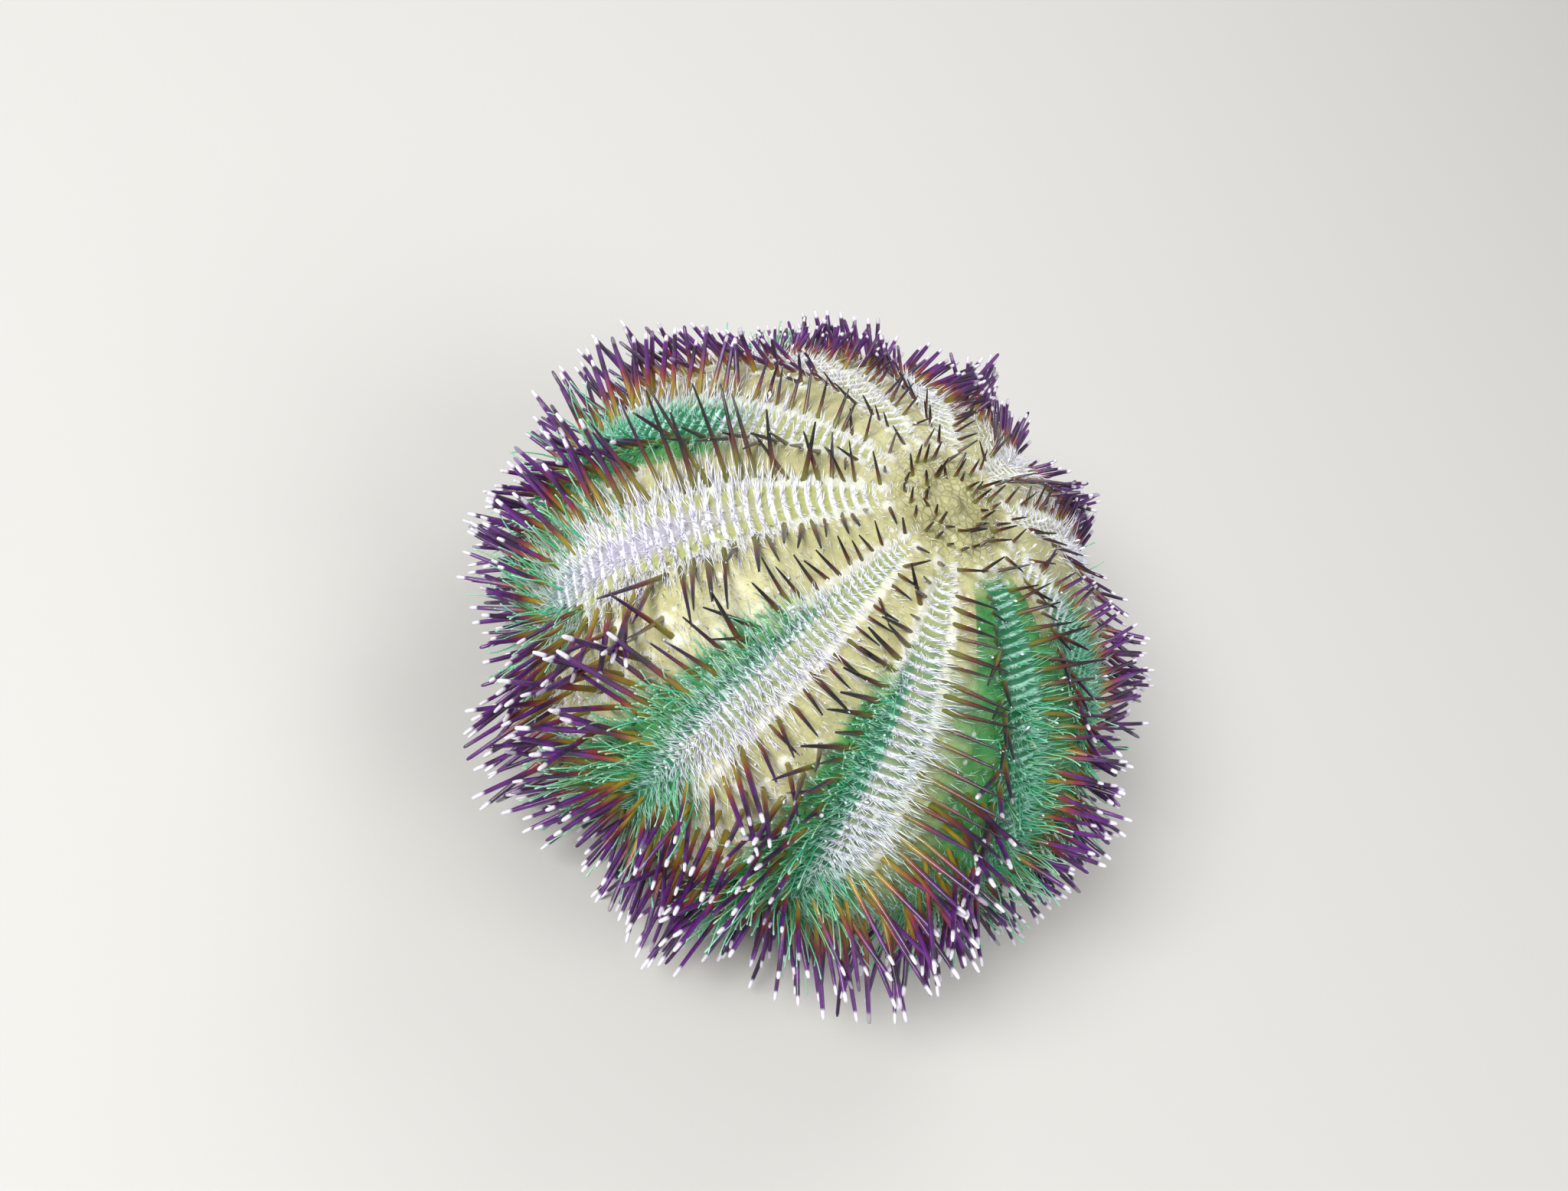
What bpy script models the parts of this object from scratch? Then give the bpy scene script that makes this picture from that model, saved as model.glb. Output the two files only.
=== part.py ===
"""Short-spined sea urchin, life size, standing on its mouth side. Metres, +Z up, floor at z = 0.

The body wall is parted into ten meridian areas, five wider interambulacra and five narrower
ambulacra. Each area is a wedge that reaches the axis, with its spines fused to it. Ten spine bands
run along the borders between areas, so the cuts lie in the furrows between the spine rows.
"""
import math
import random

import bmesh
import bpy
from mathutils import Matrix, Vector

# Body wall
WALL_RADIUS = 0.028
CROWN_RISE = 0.023
BASE_DROP = 0.0125
WIDEST_HEIGHT = 0.0175
BASE_SQUARENESS = 0.82
CROWN_HOLE_RADIUS = 0.0050
MOUTH_RADIUS = 0.0086
RECESS_DEPTH = 0.0016
GAP = 0.0003

# Areas, in degrees. Azimuth 0 faces -Y and grows towards +X.
AREA_COUNT = 5
AREA_STEP = 360 / AREA_COUNT
INTER_HALF = 19.5
AMB_HALF = AREA_STEP / 2 - INTER_HALF
INTER_FIRST = -23.5
AMB_FIRST = INTER_FIRST + AREA_STEP / 2

# Half widths of the spine bands in degrees, at the border before each interambulacrum and after it
BANDS_BEFORE = (8.6, 7.4, 7.8, 7.2, 8.0)
BANDS_AFTER = (6.8, 7.6, 7.2, 7.9, 7.5)
# Where the cross ridges and the spine row's own faces end, as shares of a band's half width
COMB_SHARE = 0.62
ROW_SHARE = 1.19
RIDGE_HEIGHT = 0.0005
BARE_COLUMNS = 2

# Plates and spines, as (angle from the crown, value) stops
PLATE_HEIGHTS = ((0, 0.0021), (50, 0.0028), (95, 0.0029), (150, 0.0026), (180, 0.0026))
SPINE_LENGTHS = (
    (0, 0.0018), (14, 0.0024), (45, 0.0053), (62, 0.0069), (86, 0.0092), (118, 0.0096), (180, 0.0090),
)
SIDE_LEANS = ((0, 14), (14, 22), (30, 40), (72, 42), (96, 22), (130, 11), (180, 4))
OUTWARD_LEANS = ((0, 22), (20, 18), (45, 8), (80, 0), (110, 0), (140, 18), (180, 22))
LEAN_JITTER = 4
LENGTH_JITTER = 0.08
EDGE_MARGIN = 3.5
SPINE_SIDES = 4
SPINE_ROOT_DEPTH = 0.0012
SPINE_ROOT_RADIUS = 0.00046
SPINE_TIP_RADIUS = 0.00018
FULL_THICK_LENGTH = 0.006
# Low on the sides, more spines stand between the rows and inside the bands
FILL_FROM, FILL_TO, FILL_PLACE, FILL_LEAN = 76, 145, 0.45, 0.5
BAND_FILL_FROM, BAND_FILL_TO, BAND_FILL_PLACE, BAND_FILL_LEAN = 80, 128, 0.55, 0.4

# Tube feet that hold the floor
FOOT_POLAR = 152
FOOT_BAND_PLACE = 0.45
FOOT_SPLAY = 1.06
FOOT_RADIUS = 0.00030
DISC_RADIUS = 0.0008
DISC_HEIGHT = 0.0004

# Crown: ring of plates with short spines, round the plated skin of the vent
CROWN_TOP = WIDEST_HEIGHT + CROWN_RISE
VENT_RADIUS = 0.0020
VENT_CONE_RADIUS = 0.0005
VENT_CONE_HEIGHT = 0.0005
CROWN_BEVEL = 0.0003
CROWN_PLATE_RADIUS = 0.0011
CROWN_PLATE_PLACE = 0.0035
CROWN_PLATE_HEIGHT = 0.0003
CROWN_SPINES = 10
CROWN_SPINE_PLACES = (0.0029, 0.0042)
CROWN_SPINE_LENGTH = 0.0018
CROWN_SPINE_RADIUS = 0.00030
CROWN_SPINE_SPLAY = 0.35

# Mouth: skin with a lip and paired feet, round five teeth
SKIN_BULGE = 0.0006
SKIN_FLAT_FROM = 0.7
LIP_RADIUS = 0.0027
LIP_WIDTH = 0.0009
LIP_HEIGHT = 0.0004
THROAT_DEPTH = 0.0006
BUCCAL_PLACE = 0.0052
BUCCAL_SPREAD = 9
BUCCAL_LENGTH = 0.0012
BUCCAL_RADIUS = 0.00035
TOOTH_WIDTH = 0.0010
TOOTH_LENGTH = 0.0022
TOOTH_ROOT_NEAR, TOOTH_ROOT_FAR = 0.0009, 0.0023
TOOTH_EDGE_NEAR, TOOTH_EDGE_FAR = 0.00045, 0.00085


def between(stops, polar):
    """Value at an angle from the crown, on straight lines between the stops."""
    for (low, first), (high, last) in zip(stops, stops[1:]):
        if polar <= high:
            return first + (last - first) * (polar - low) / (high - low)
    return stops[-1][1]


def outline(polar):
    """Distance from the axis and height of the wall at an angle from the crown."""
    turn = math.radians(polar)
    if polar <= 90:
        return Vector((WALL_RADIUS * math.sin(turn), WIDEST_HEIGHT + CROWN_RISE * math.cos(turn)))
    return Vector((
        WALL_RADIUS * math.sin(turn) ** BASE_SQUARENESS,
        WIDEST_HEIGHT - BASE_DROP * (-math.cos(turn)) ** BASE_SQUARENESS,
    ))


def slope(polar):
    """How far the outline runs, as a vector, over one degree."""
    return outline(polar + 0.5) - outline(polar - 0.5)


def raised(polar, lift):
    """Point of the outline, lifted off the wall."""
    along = slope(polar).normalized()
    return outline(polar) + Vector((-along.y, along.x)) * lift


POLAR_CROWN = math.degrees(math.asin(CROWN_HOLE_RADIUS / WALL_RADIUS))
POLAR_MOUTH = 180 - math.degrees(math.asin((MOUTH_RADIUS / WALL_RADIUS) ** (1 / BASE_SQUARENESS)))
CROWN_FLOOR = outline(POLAR_CROWN).y - RECESS_DEPTH
MOUTH_EDGE = outline(POLAR_MOUTH).y
MOUTH_ROOF = MOUTH_EDGE + RECESS_DEPTH


def heading(azimuth):
    """Unit vector in the floor plane."""
    turn = math.radians(azimuth)
    return Vector((math.sin(turn), -math.cos(turn), 0))


def upright(radius, height, azimuth):
    """Point at this distance from the axis and this height."""
    return heading(azimuth) * radius + Vector((0, 0, height))


def wall_frame(azimuth, polar):
    """Point on the wall, with its outward, downward and sideways directions."""
    down = upright(*slope(polar), azimuth).normalized()
    side = heading(azimuth + 90)
    return upright(*outline(polar), azimuth), down.cross(side), down, side


def plate_centres():
    """Angles from the crown at the middle of each plate of a column."""
    polar = POLAR_CROWN + EDGE_MARGIN
    found = []
    while polar < POLAR_MOUTH - EDGE_MARGIN:
        found.append(polar)
        polar += between(PLATE_HEIGHTS, polar) / slope(polar).length
    return found


PLATES = plate_centres()


def new_object(name, bm, collection):
    """Object with this mesh, its faces turned outwards."""
    bmesh.ops.recalc_face_normals(bm, faces=bm.faces)
    mesh = bpy.data.meshes.new(name)
    bm.to_mesh(mesh)
    bm.free()
    made = bpy.data.objects.new(name, mesh)
    collection.objects.link(made)
    return made


def cone_between(start, end, start_radius, end_radius, sides, collection):
    """Closed tapering piece from one point to another."""
    axis = end - start
    turn = axis.to_track_quat("Z", "Y").to_matrix().to_4x4()
    bm = bmesh.new()
    bmesh.ops.create_cone(
        bm, cap_ends=True, segments=sides, radius1=start_radius, radius2=end_radius,
        depth=axis.length, matrix=Matrix.Translation((start + end) / 2) @ turn,
    )
    return new_object("piece", bm, collection)


def apply_modifiers(made):
    """Keeps the shape that the modifiers give and drops them."""
    bpy.context.view_layer.update()
    graph = bpy.context.evaluated_depsgraph_get()
    mesh = bpy.data.meshes.new_from_object(made.evaluated_get(graph))
    made.modifiers.clear()
    old = made.data
    made.data = mesh
    bpy.data.meshes.remove(old)
    mesh.name = made.name


def cut_at_floor(mesh):
    """Leaves a small flat at z = 0 on each piece that reaches that far."""
    bm = bmesh.new()
    bm.from_mesh(mesh)
    cut = bmesh.ops.bisect_plane(
        bm, geom=bm.verts[:] + bm.edges[:] + bm.faces[:], dist=1e-7,
        plane_co=(0, 0, 0), plane_no=(0, 0, -1), clear_outer=True,
    )
    rims = [item for item in cut["geom_cut"] if isinstance(item, bmesh.types.BMEdge)]
    bmesh.ops.holes_fill(bm, edges=rims)
    bmesh.ops.recalc_face_normals(bm, faces=bm.faces)
    bm.to_mesh(mesh)
    bm.free()


def keep_largest(mesh):
    """Drops all but the connected surface with the most faces."""
    bm = bmesh.new()
    bm.from_mesh(mesh)
    left = set(bm.faces)
    surfaces = []
    while left:
        front = [left.pop()]
        surface = set(front)
        while front:
            touching = {face for edge in front.pop().edges for face in edge.link_faces} & left
            left -= touching
            surface |= touching
            front += touching
        surfaces.append(surface)
    largest = max(surfaces, key=len)
    loose = [face for face in bm.faces if face not in largest]
    bmesh.ops.delete(bm, geom=loose, context="FACES")
    bm.to_mesh(mesh)
    bm.free()


def fuse(body, pieces):
    """Joins every piece of the collection to the body as one closed surface above the floor."""
    union = body.modifiers.new("Joined pieces", "BOOLEAN")
    union.operation = "UNION"
    union.operand_type = "COLLECTION"
    union.collection = pieces
    union.solver = "EXACT"
    apply_modifiers(body)
    for piece in list(pieces.objects):
        bpy.data.meshes.remove(piece.data)
    cut_at_floor(body.data)
    keep_largest(body.data)


def fan_from(hub):
    """Splits the five-sided face beside this point into three triangles that meet at it, so that a
    spine stands inside the middle one."""
    face = next(face for face in hub.link_faces if len(face.verts) == 5)
    near = {edge.other_vert(hub) for edge in hub.link_edges}
    for corner in [vert for vert in face.verts if vert is not hub and vert not in near]:
        whole = next(face for face in hub.link_faces if corner in face.verts and len(face.verts) > 3)
        bmesh.utils.face_split(whole, hub, corner)


def wedge_columns(half, bands):
    """Places of the wall's face columns, as shares from -1 to 1 of the area's half angle."""
    before, after = (band / half for band in bands)
    bare_from, bare_to = -1 + ROW_SHARE * before, 1 - ROW_SHARE * after
    bare = [bare_from + (bare_to - bare_from) * i / BARE_COLUMNS for i in range(BARE_COLUMNS + 1)]
    return [-1, -1 + COMB_SHARE * before, *bare, 1 - COMB_SHARE * after, 1]


def wedge_rows(tip_radius):
    """Outline of a wedge from the axis under the crown to the axis over the mouth, as pairs of plain
    and ridged points. Wall rows lie in turn on the seams between plates and on their middles."""
    seams = [POLAR_CROWN, *((a + b) / 2 for a, b in zip(PLATES, PLATES[1:])), POLAR_MOUTH]
    wall = [(outline(POLAR_CROWN), outline(POLAR_CROWN))]
    for seam, next_seam in zip(seams, seams[1:]):
        middle = (seam + next_seam) / 2
        wall.append((outline(middle), raised(middle, RIDGE_HEIGHT)))
        wall.append((outline(next_seam), outline(next_seam)))
    crown = [Vector((tip_radius, CROWN_FLOOR)), Vector((CROWN_HOLE_RADIUS, CROWN_FLOOR))]
    mouth = [Vector((MOUTH_RADIUS, MOUTH_ROOF)), Vector((tip_radius, MOUTH_ROOF))]
    return [*((point, point) for point in crown), *wall, *((point, point) for point in mouth)]


def wedge(name, median, half, bands, collection):
    """Area of the wall as a wedge to the axis. Over the half bands at its sides it has one low cross
    ridge to a plate, and between them one plain row of faces to a plate."""
    columns = wedge_columns(half, bands)
    last_column = len(columns) - 1
    comb_columns = {0, 1, last_column - 1, last_column}
    rows = wedge_rows(GAP / 2 / math.sin(math.radians(half)))
    last_row = len(rows) - 1
    first_wall_row = 2

    bm = bmesh.new()
    bmesh.ops.create_grid(bm, x_segments=last_column, y_segments=last_row, size=1)
    sides = {-1: {}, 1: {}}
    plain, hubs = [], []
    for vert in bm.verts:
        column = round((vert.co.x + 1) / 2 * last_column)
        row = round((vert.co.y + 1) / 2 * last_row)
        radius, height = rows[row][column in comb_columns]
        share = columns[column]
        spared = math.degrees(math.asin(min(1, GAP / 2 / radius)))
        vert.co = upright(radius, height, median + share * (half - spared))
        if share in sides:
            sides[share][row] = vert
        if first_wall_row < row < last_row - first_wall_row and (row - first_wall_row) % 2:
            if column not in comb_columns:
                plain.append(vert)
            elif column in (1, last_column - 1):
                hubs.append(vert)

    for column in sides.values():
        bm.faces.new([column[row] for row in sorted(column)])
    merged = {*plain, *hubs}
    cross = [edge for edge in bm.edges if merged.issuperset(edge.verts)]
    bmesh.ops.dissolve_edges(bm, edges=cross, use_verts=True)
    for hub in hubs:
        fan_from(hub)
    bmesh.ops.remove_doubles(bm, verts=bm.verts, dist=1e-6)
    bmesh.ops.dissolve_degenerate(bm, edges=bm.edges, dist=1e-7)
    bmesh.ops.triangulate(bm, faces=bm.faces, ngon_method="EAR_CLIP")
    return new_object(name, bm, collection)


def spine_roots(half, bands):
    """Offset from the median and angle from the crown of each root in an area, with its lean: 1 or -1
    leans fully towards rising or falling azimuth."""
    for side, band in zip((-1, 1), bands):
        row = half - band
        for number, polar in enumerate(PLATES):
            yield side * row, polar, -side
            if FILL_FROM < polar < FILL_TO and number % 2 == (side > 0):
                yield side * row * FILL_PLACE, polar, -side * FILL_LEAN
            if BAND_FILL_FROM < polar < BAND_FILL_TO and number % 2 == (side < 0):
                yield side * (row + BAND_FILL_PLACE * band), polar, -side * BAND_FILL_LEAN


def spines(median, half, bands, draw, collection):
    """Spines of one area. They stand in a row beside each band and lean over the bare skin between
    the rows; in the upper half they point a little away from the crown, below from the mouth."""
    for offset, polar, lean in spine_roots(half, bands):
        foot, normal, down, side = wall_frame(median + offset, polar)
        away = down if polar < 90 else -down
        side_lean = lean * between(SIDE_LEANS, polar) + draw.uniform(-LEAN_JITTER, LEAN_JITTER)
        outward_lean = between(OUTWARD_LEANS, polar) + draw.uniform(-LEAN_JITTER, LEAN_JITTER)
        direction = normal + side * math.tan(math.radians(side_lean))
        direction = (direction + away * math.tan(math.radians(outward_lean))).normalized()
        length = between(SPINE_LENGTHS, polar) * (1 + draw.uniform(-LENGTH_JITTER, LENGTH_JITTER))
        thickness = min(1, 0.5 + 0.5 * length / FULL_THICK_LENGTH)
        cone_between(
            foot - direction * SPINE_ROOT_DEPTH, foot + direction * length,
            SPINE_ROOT_RADIUS * thickness, SPINE_TIP_RADIUS, SPINE_SIDES, collection,
        )


def tube_feet(median, half, bands, collection):
    """Two tube feet beside the borders of an ambulacrum, with sucker discs flat on the floor."""
    for side, band in zip((-1, 1), bands):
        azimuth = median + side * (half - FOOT_BAND_PLACE * band)
        place, normal, _, _ = wall_frame(azimuth, FOOT_POLAR)
        floor = Vector((place.x, place.y, 0)) * FOOT_SPLAY
        disc_top = floor + Vector((0, 0, DISC_HEIGHT))
        cone_between(
            place - normal * SPINE_ROOT_DEPTH, (floor + disc_top) / 2,
            FOOT_RADIUS, FOOT_RADIUS, 5, collection,
        )
        cone_between(floor, disc_top, DISC_RADIUS, 0.6 * DISC_RADIUS, 8, collection)


def turned(name, profile, steps, collection):
    """Body turned about Z from (radius, height) points that run down its outer side."""
    bm = bmesh.new()
    verts = [bm.verts.new((radius, 0, height)) for radius, height in profile]
    for first, last in zip(verts, verts[1:]):
        bm.edges.new((first, last))
    mesh = bpy.data.meshes.new(name)
    bm.to_mesh(mesh)
    bm.free()
    made = bpy.data.objects.new(name, mesh)
    collection.objects.link(made)
    screw = made.modifiers.new("Turn", "SCREW")
    screw.steps = screw.render_steps = steps
    screw.use_merge_vertices = True
    screw.merge_threshold = 1e-6
    return made


def apical_ring(collection, pieces, draw):
    """Ring in the crown's recess, with five low plates and short spines between them."""
    outer, inner = CROWN_HOLE_RADIUS - GAP, VENT_RADIUS + GAP
    base = CROWN_FLOOR + GAP
    rim = outline(math.degrees(math.asin(outer / WALL_RADIUS))).y
    shoulder = rim + CROWN_BEVEL
    ring = turned("apical_ring", [
        (inner, base), (inner, CROWN_TOP - CROWN_BEVEL), (inner + CROWN_BEVEL, CROWN_TOP),
        (outer - CROWN_BEVEL, shoulder), (outer, rim), (outer, base), (inner, base),
    ], 20, collection)
    apply_modifiers(ring)
    for i in range(AREA_COUNT):
        place = upright(CROWN_PLATE_PLACE, CROWN_TOP, INTER_FIRST + AREA_STEP * i)
        cone_between(
            place - Vector((0, 0, 2 * CROWN_PLATE_HEIGHT)), place + Vector((0, 0, CROWN_PLATE_HEIGHT)),
            CROWN_PLATE_RADIUS, 0.7 * CROWN_PLATE_RADIUS, 6, pieces,
        )
    for i in range(CROWN_SPINES):
        azimuth = AMB_FIRST + 360 / CROWN_SPINES * i
        foot = upright(CROWN_SPINE_PLACES[i % 2], CROWN_TOP, azimuth)
        direction = upright(CROWN_SPINE_SPLAY, 1, azimuth).normalized()
        length = CROWN_SPINE_LENGTH * (1 + draw.uniform(-LENGTH_JITTER, LENGTH_JITTER))
        cone_between(
            foot - direction * SPINE_ROOT_DEPTH, foot + direction * length,
            CROWN_SPINE_RADIUS, CROWN_SPINE_RADIUS / 2, SPINE_SIDES, pieces,
        )
    fuse(ring, pieces)
    return ring


def periproct(collection):
    """Plated skin of the vent, with a low cone in its middle."""
    base = CROWN_FLOOR + GAP
    return turned("periproct", [
        (0, CROWN_TOP + VENT_CONE_HEIGHT), (VENT_CONE_RADIUS, CROWN_TOP + VENT_CONE_HEIGHT),
        (2 * VENT_CONE_RADIUS, CROWN_TOP), (VENT_RADIUS - CROWN_BEVEL, CROWN_TOP),
        (VENT_RADIUS, CROWN_TOP - CROWN_BEVEL), (VENT_RADIUS, base), (0, base),
    ], 16, collection)


def peristome(collection, pieces):
    """Mouth skin in its recess, with a lip round the teeth and a pair of short feet to each area."""
    outer = MOUTH_RADIUS - GAP
    roof = MOUTH_ROOF - GAP
    low = MOUTH_EDGE - SKIN_BULGE
    skin = turned("peristome", [
        (0, roof), (outer, roof), (outer, MOUTH_EDGE), (SKIN_FLAT_FROM * outer, low),
        (LIP_RADIUS + LIP_WIDTH, low), (LIP_RADIUS + LIP_WIDTH / 2, low - LIP_HEIGHT),
        (LIP_RADIUS, low), (LIP_RADIUS, roof - THROAT_DEPTH), (0, roof - THROAT_DEPTH),
    ], 24, collection)
    apply_modifiers(skin)
    for i in range(AREA_COUNT):
        for spread in (-BUCCAL_SPREAD, BUCCAL_SPREAD):
            foot = upright(BUCCAL_PLACE, low, AMB_FIRST + AREA_STEP * i + spread)
            cone_between(
                foot + Vector((0, 0, BUCCAL_LENGTH / 2)), foot - Vector((0, 0, BUCCAL_LENGTH)),
                BUCCAL_RADIUS, 1.2 * BUCCAL_RADIUS, 5, pieces,
            )
    fuse(skin, pieces)
    return skin


def tooth(number, collection):
    """Tooth in the mouth, wide at its root and cut to an edge near the axis."""
    bm = bmesh.new()
    bmesh.ops.create_cube(bm, size=1)
    for vert in bm.verts:
        at_edge, near = vert.co.z < 0, vert.co.y < 0
        width = TOOTH_WIDTH * (0.45 if at_edge else 1) * (0.55 if near else 1)
        if at_edge:
            reach = TOOTH_EDGE_NEAR if near else TOOTH_EDGE_FAR
        else:
            reach = TOOTH_ROOT_NEAR if near else TOOTH_ROOT_FAR
        vert.co = Vector((vert.co.x * width, reach, -TOOTH_LENGTH if at_edge else 0))
    made = new_object(f"tooth_{number}", bm, collection)
    made.location = (0, 0, MOUTH_ROOF - THROAT_DEPTH - 2 * GAP)
    made.rotation_euler = (0, 0, math.radians(180 + INTER_FIRST + AREA_STEP * (number - 1)))
    return made


def finish(part, colour, roughness):
    """Gives one sub-part its own material."""
    made = bpy.data.materials.new(part.name)
    made.use_nodes = True
    surface = made.node_tree.nodes["Principled BSDF"]
    surface.inputs["Base Color"].default_value = (*colour, 1)
    surface.inputs["Roughness"].default_value = roughness
    surface.inputs["Metallic"].default_value = 0
    part.data.materials.append(made)


def stand_on_origin(parts, root):
    """Moves the root so that the box of all parts is centred over the origin."""
    bpy.context.view_layer.update()
    graph = bpy.context.evaluated_depsgraph_get()
    points = [
        part.matrix_world @ vert.co
        for part in parts for vert in part.evaluated_get(graph).data.vertices
    ]
    for axis in range(2):
        places = [point[axis] for point in points]
        root.location[axis] = -(min(places) + max(places)) / 2


def main():
    for item in list(bpy.data.objects):
        bpy.data.objects.remove(item, do_unlink=True)
    urchin = bpy.data.collections.new("sea_urchin")
    pieces = bpy.data.collections.new("pieces_to_join")
    for collection in (urchin, pieces):
        bpy.context.scene.collection.children.link(collection)
    root = bpy.data.objects.new("urchin_root", None)
    urchin.objects.link(root)

    parts = []
    for i in range(AREA_COUNT):
        draw = random.Random(i)
        before, after = BANDS_BEFORE[i], BANDS_AFTER[i]
        before_next = BANDS_BEFORE[(i + 1) % AREA_COUNT]

        median = INTER_FIRST + AREA_STEP * i
        area = wedge(f"interambulacrum_{i + 1}", median, INTER_HALF, (before, after), urchin)
        spines(median, INTER_HALF, (before, after), draw, pieces)
        fuse(area, pieces)
        finish(area, (0.62, 0.57, 0.33), 0.45)
        parts.append(area)

        median = AMB_FIRST + AREA_STEP * i
        area = wedge(f"ambulacrum_{i + 1}", median, AMB_HALF, (after, before_next), urchin)
        spines(median, AMB_HALF, (after, before_next), draw, pieces)
        tube_feet(median, AMB_HALF, (after, before_next), pieces)
        fuse(area, pieces)
        finish(area, (0.50, 0.55, 0.33), 0.45)
        parts.append(area)

    ring = apical_ring(urchin, pieces, random.Random(AREA_COUNT))
    finish(ring, (0.45, 0.42, 0.28), 0.5)
    vent = periproct(urchin)
    finish(vent, (0.50, 0.46, 0.34), 0.5)
    skin = peristome(urchin, pieces)
    finish(skin, (0.42, 0.36, 0.26), 0.55)
    parts += [ring, vent, skin]
    for number in range(1, AREA_COUNT + 1):
        piece = tooth(number, urchin)
        finish(piece, (0.85, 0.82, 0.72), 0.3)
        parts.append(piece)

    bpy.data.collections.remove(pieces)
    for part in parts:
        part.parent = root
    stand_on_origin(parts, root)


if __name__ == "__main__":
    main()
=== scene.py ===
"""Short-spined sea urchin, life size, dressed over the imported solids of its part.

Metres, +Z up, floor at z = 0. Azimuth 0 faces -Y and grows towards +X. Polar angles run from 0 at
the crown to 180 at the mouth. Ten spine bands run from crown to mouth, with bare skin between them.
"""
import math

import bmesh
import bpy
import numpy as np
from bpy.props import FloatProperty, FloatVectorProperty, IntProperty, PointerProperty
from mathutils import Matrix, Vector, noise


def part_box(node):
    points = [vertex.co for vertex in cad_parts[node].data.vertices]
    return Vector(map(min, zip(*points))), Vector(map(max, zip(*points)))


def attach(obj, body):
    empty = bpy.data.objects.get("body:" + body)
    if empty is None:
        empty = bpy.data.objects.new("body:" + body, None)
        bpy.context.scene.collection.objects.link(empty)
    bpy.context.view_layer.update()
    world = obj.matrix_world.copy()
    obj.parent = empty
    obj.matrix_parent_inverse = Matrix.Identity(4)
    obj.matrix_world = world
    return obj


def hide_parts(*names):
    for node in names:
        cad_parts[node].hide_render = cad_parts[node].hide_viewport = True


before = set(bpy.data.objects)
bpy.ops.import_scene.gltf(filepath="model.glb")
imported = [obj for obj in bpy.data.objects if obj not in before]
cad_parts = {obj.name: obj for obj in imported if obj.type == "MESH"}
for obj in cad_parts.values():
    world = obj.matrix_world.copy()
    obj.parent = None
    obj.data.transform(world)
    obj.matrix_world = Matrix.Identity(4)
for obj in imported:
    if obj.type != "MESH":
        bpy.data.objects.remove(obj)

bl_info = {
    "name": "Short-spined sea urchin",
    "version": (1, 0, 0),
    "blender": (4, 5, 0),
    "location": "3D Viewport > Sidebar > Sea urchin",
    "description": "Builds the skin, spines, hairs, feet and teeth of a life-size sea urchin",
    "category": "Object",
}

# Wall of the solids
WALL_RADIUS = 0.028
CROWN_RISE = 0.023
BASE_DROP = 0.0125
WIDEST_HEIGHT = 0.0175
BASE_SQUARENESS = 0.82
CROWN_HOLE_RADIUS = 0.0050
MOUTH_RADIUS = 0.0086
RECESS_DEPTH = 0.0016
GAP = 0.0003

# Areas and bands of the solids, in degrees
AREA_COUNT = 5
AREA_STEP = 360 / AREA_COUNT
INTER_HALF = 19.5
AMB_HALF = AREA_STEP / 2 - INTER_HALF
INTER_FIRST = -23.5
AMB_FIRST = INTER_FIRST + AREA_STEP / 2
BANDS_BEFORE = (8.6, 7.4, 7.8, 7.2, 8.0)
BANDS_AFTER = (6.8, 7.6, 7.2, 7.9, 7.5)
BORDERS = np.array([
    INTER_FIRST + AREA_STEP * i + side * INTER_HALF for i in range(AREA_COUNT) for side in (-1, 1)
])
BAND_HALVES = np.array([half for pair in zip(BANDS_BEFORE, BANDS_AFTER) for half in pair])
BANDS = list(zip(range(2 * AREA_COUNT), BORDERS, BAND_HALVES))

# Bands with a green edge of painted greenish shade, bands with green feet, and those on the far side, by
# number
GREEN_SHADE_EDGE_BANDS = (1, 2, 3)
GREEN_FOOT_BANDS = (1, 2, 3, 4)
FAR_BANDS = (6, 7, 8)

# Plates and spines, as (polar angle, value) stops, and the lengths round the fringe by azimuth
PLATE_HEIGHTS = ((0, 0.0021), (50, 0.0028), (95, 0.0029), (150, 0.0026), (180, 0.0026))
SPINE_LENGTHS = (
    (0, 0.0018), (14, 0.0024), (45, 0.0053), (62, 0.0069), (86, 0.0092), (118, 0.0096), (180, 0.0090),
)
SIDE_LEANS = ((0, 14), (14, 30), (30, 48), (72, 50), (96, 26), (130, 12), (180, 4))
OUTWARD_LEANS = ((0, 22), (20, 18), (45, 8), (80, 0), (110, 0), (140, 18), (180, 22))
FRINGE_SHARES = (
    (0, 1), (12, 1.14), (26, 1), (60, 1), (102, 0.88), (125, 0.95), (138, 1), (155, 1.3), (200, 1.38),
    (215, 1.25), (228, 1.05), (248, 0.8), (262, 0.95), (275, 1), (285, 0.95), (300, 0.85), (312, 0.92),
    (340, 1.1), (360, 1),
)
EDGE_MARGIN = 3.5
SHORT_ROW_SHARE = 0.76
MOST_SIDE_LEAN, MOST_OUTWARD_LEAN = 62, 50

# Polar angles where each band's filling rows and end rows of spines start
FILL_STARTS = (66, 66, 57, 57, 57, 57, 38, 38, 38, 66)
END_STARTS = (74, 74, 74, 74, 74, 74, 38, 38, 38, 74)
LAST_SPINE_END = 150

# Width of each band's white part: share near the crown, share down the side, start and end of the change
BAND_TAPERS = np.array([
    (1, 0.74, 66, 100), (0.7, 0.28, 52, 100), (0.78, 0.28, 52, 100), *[(1, 0.28, 52, 100)] * 3,
    *[(1, 0.28, 32, 68)] * 3, (1, 0.28, 52, 100),
])

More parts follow.
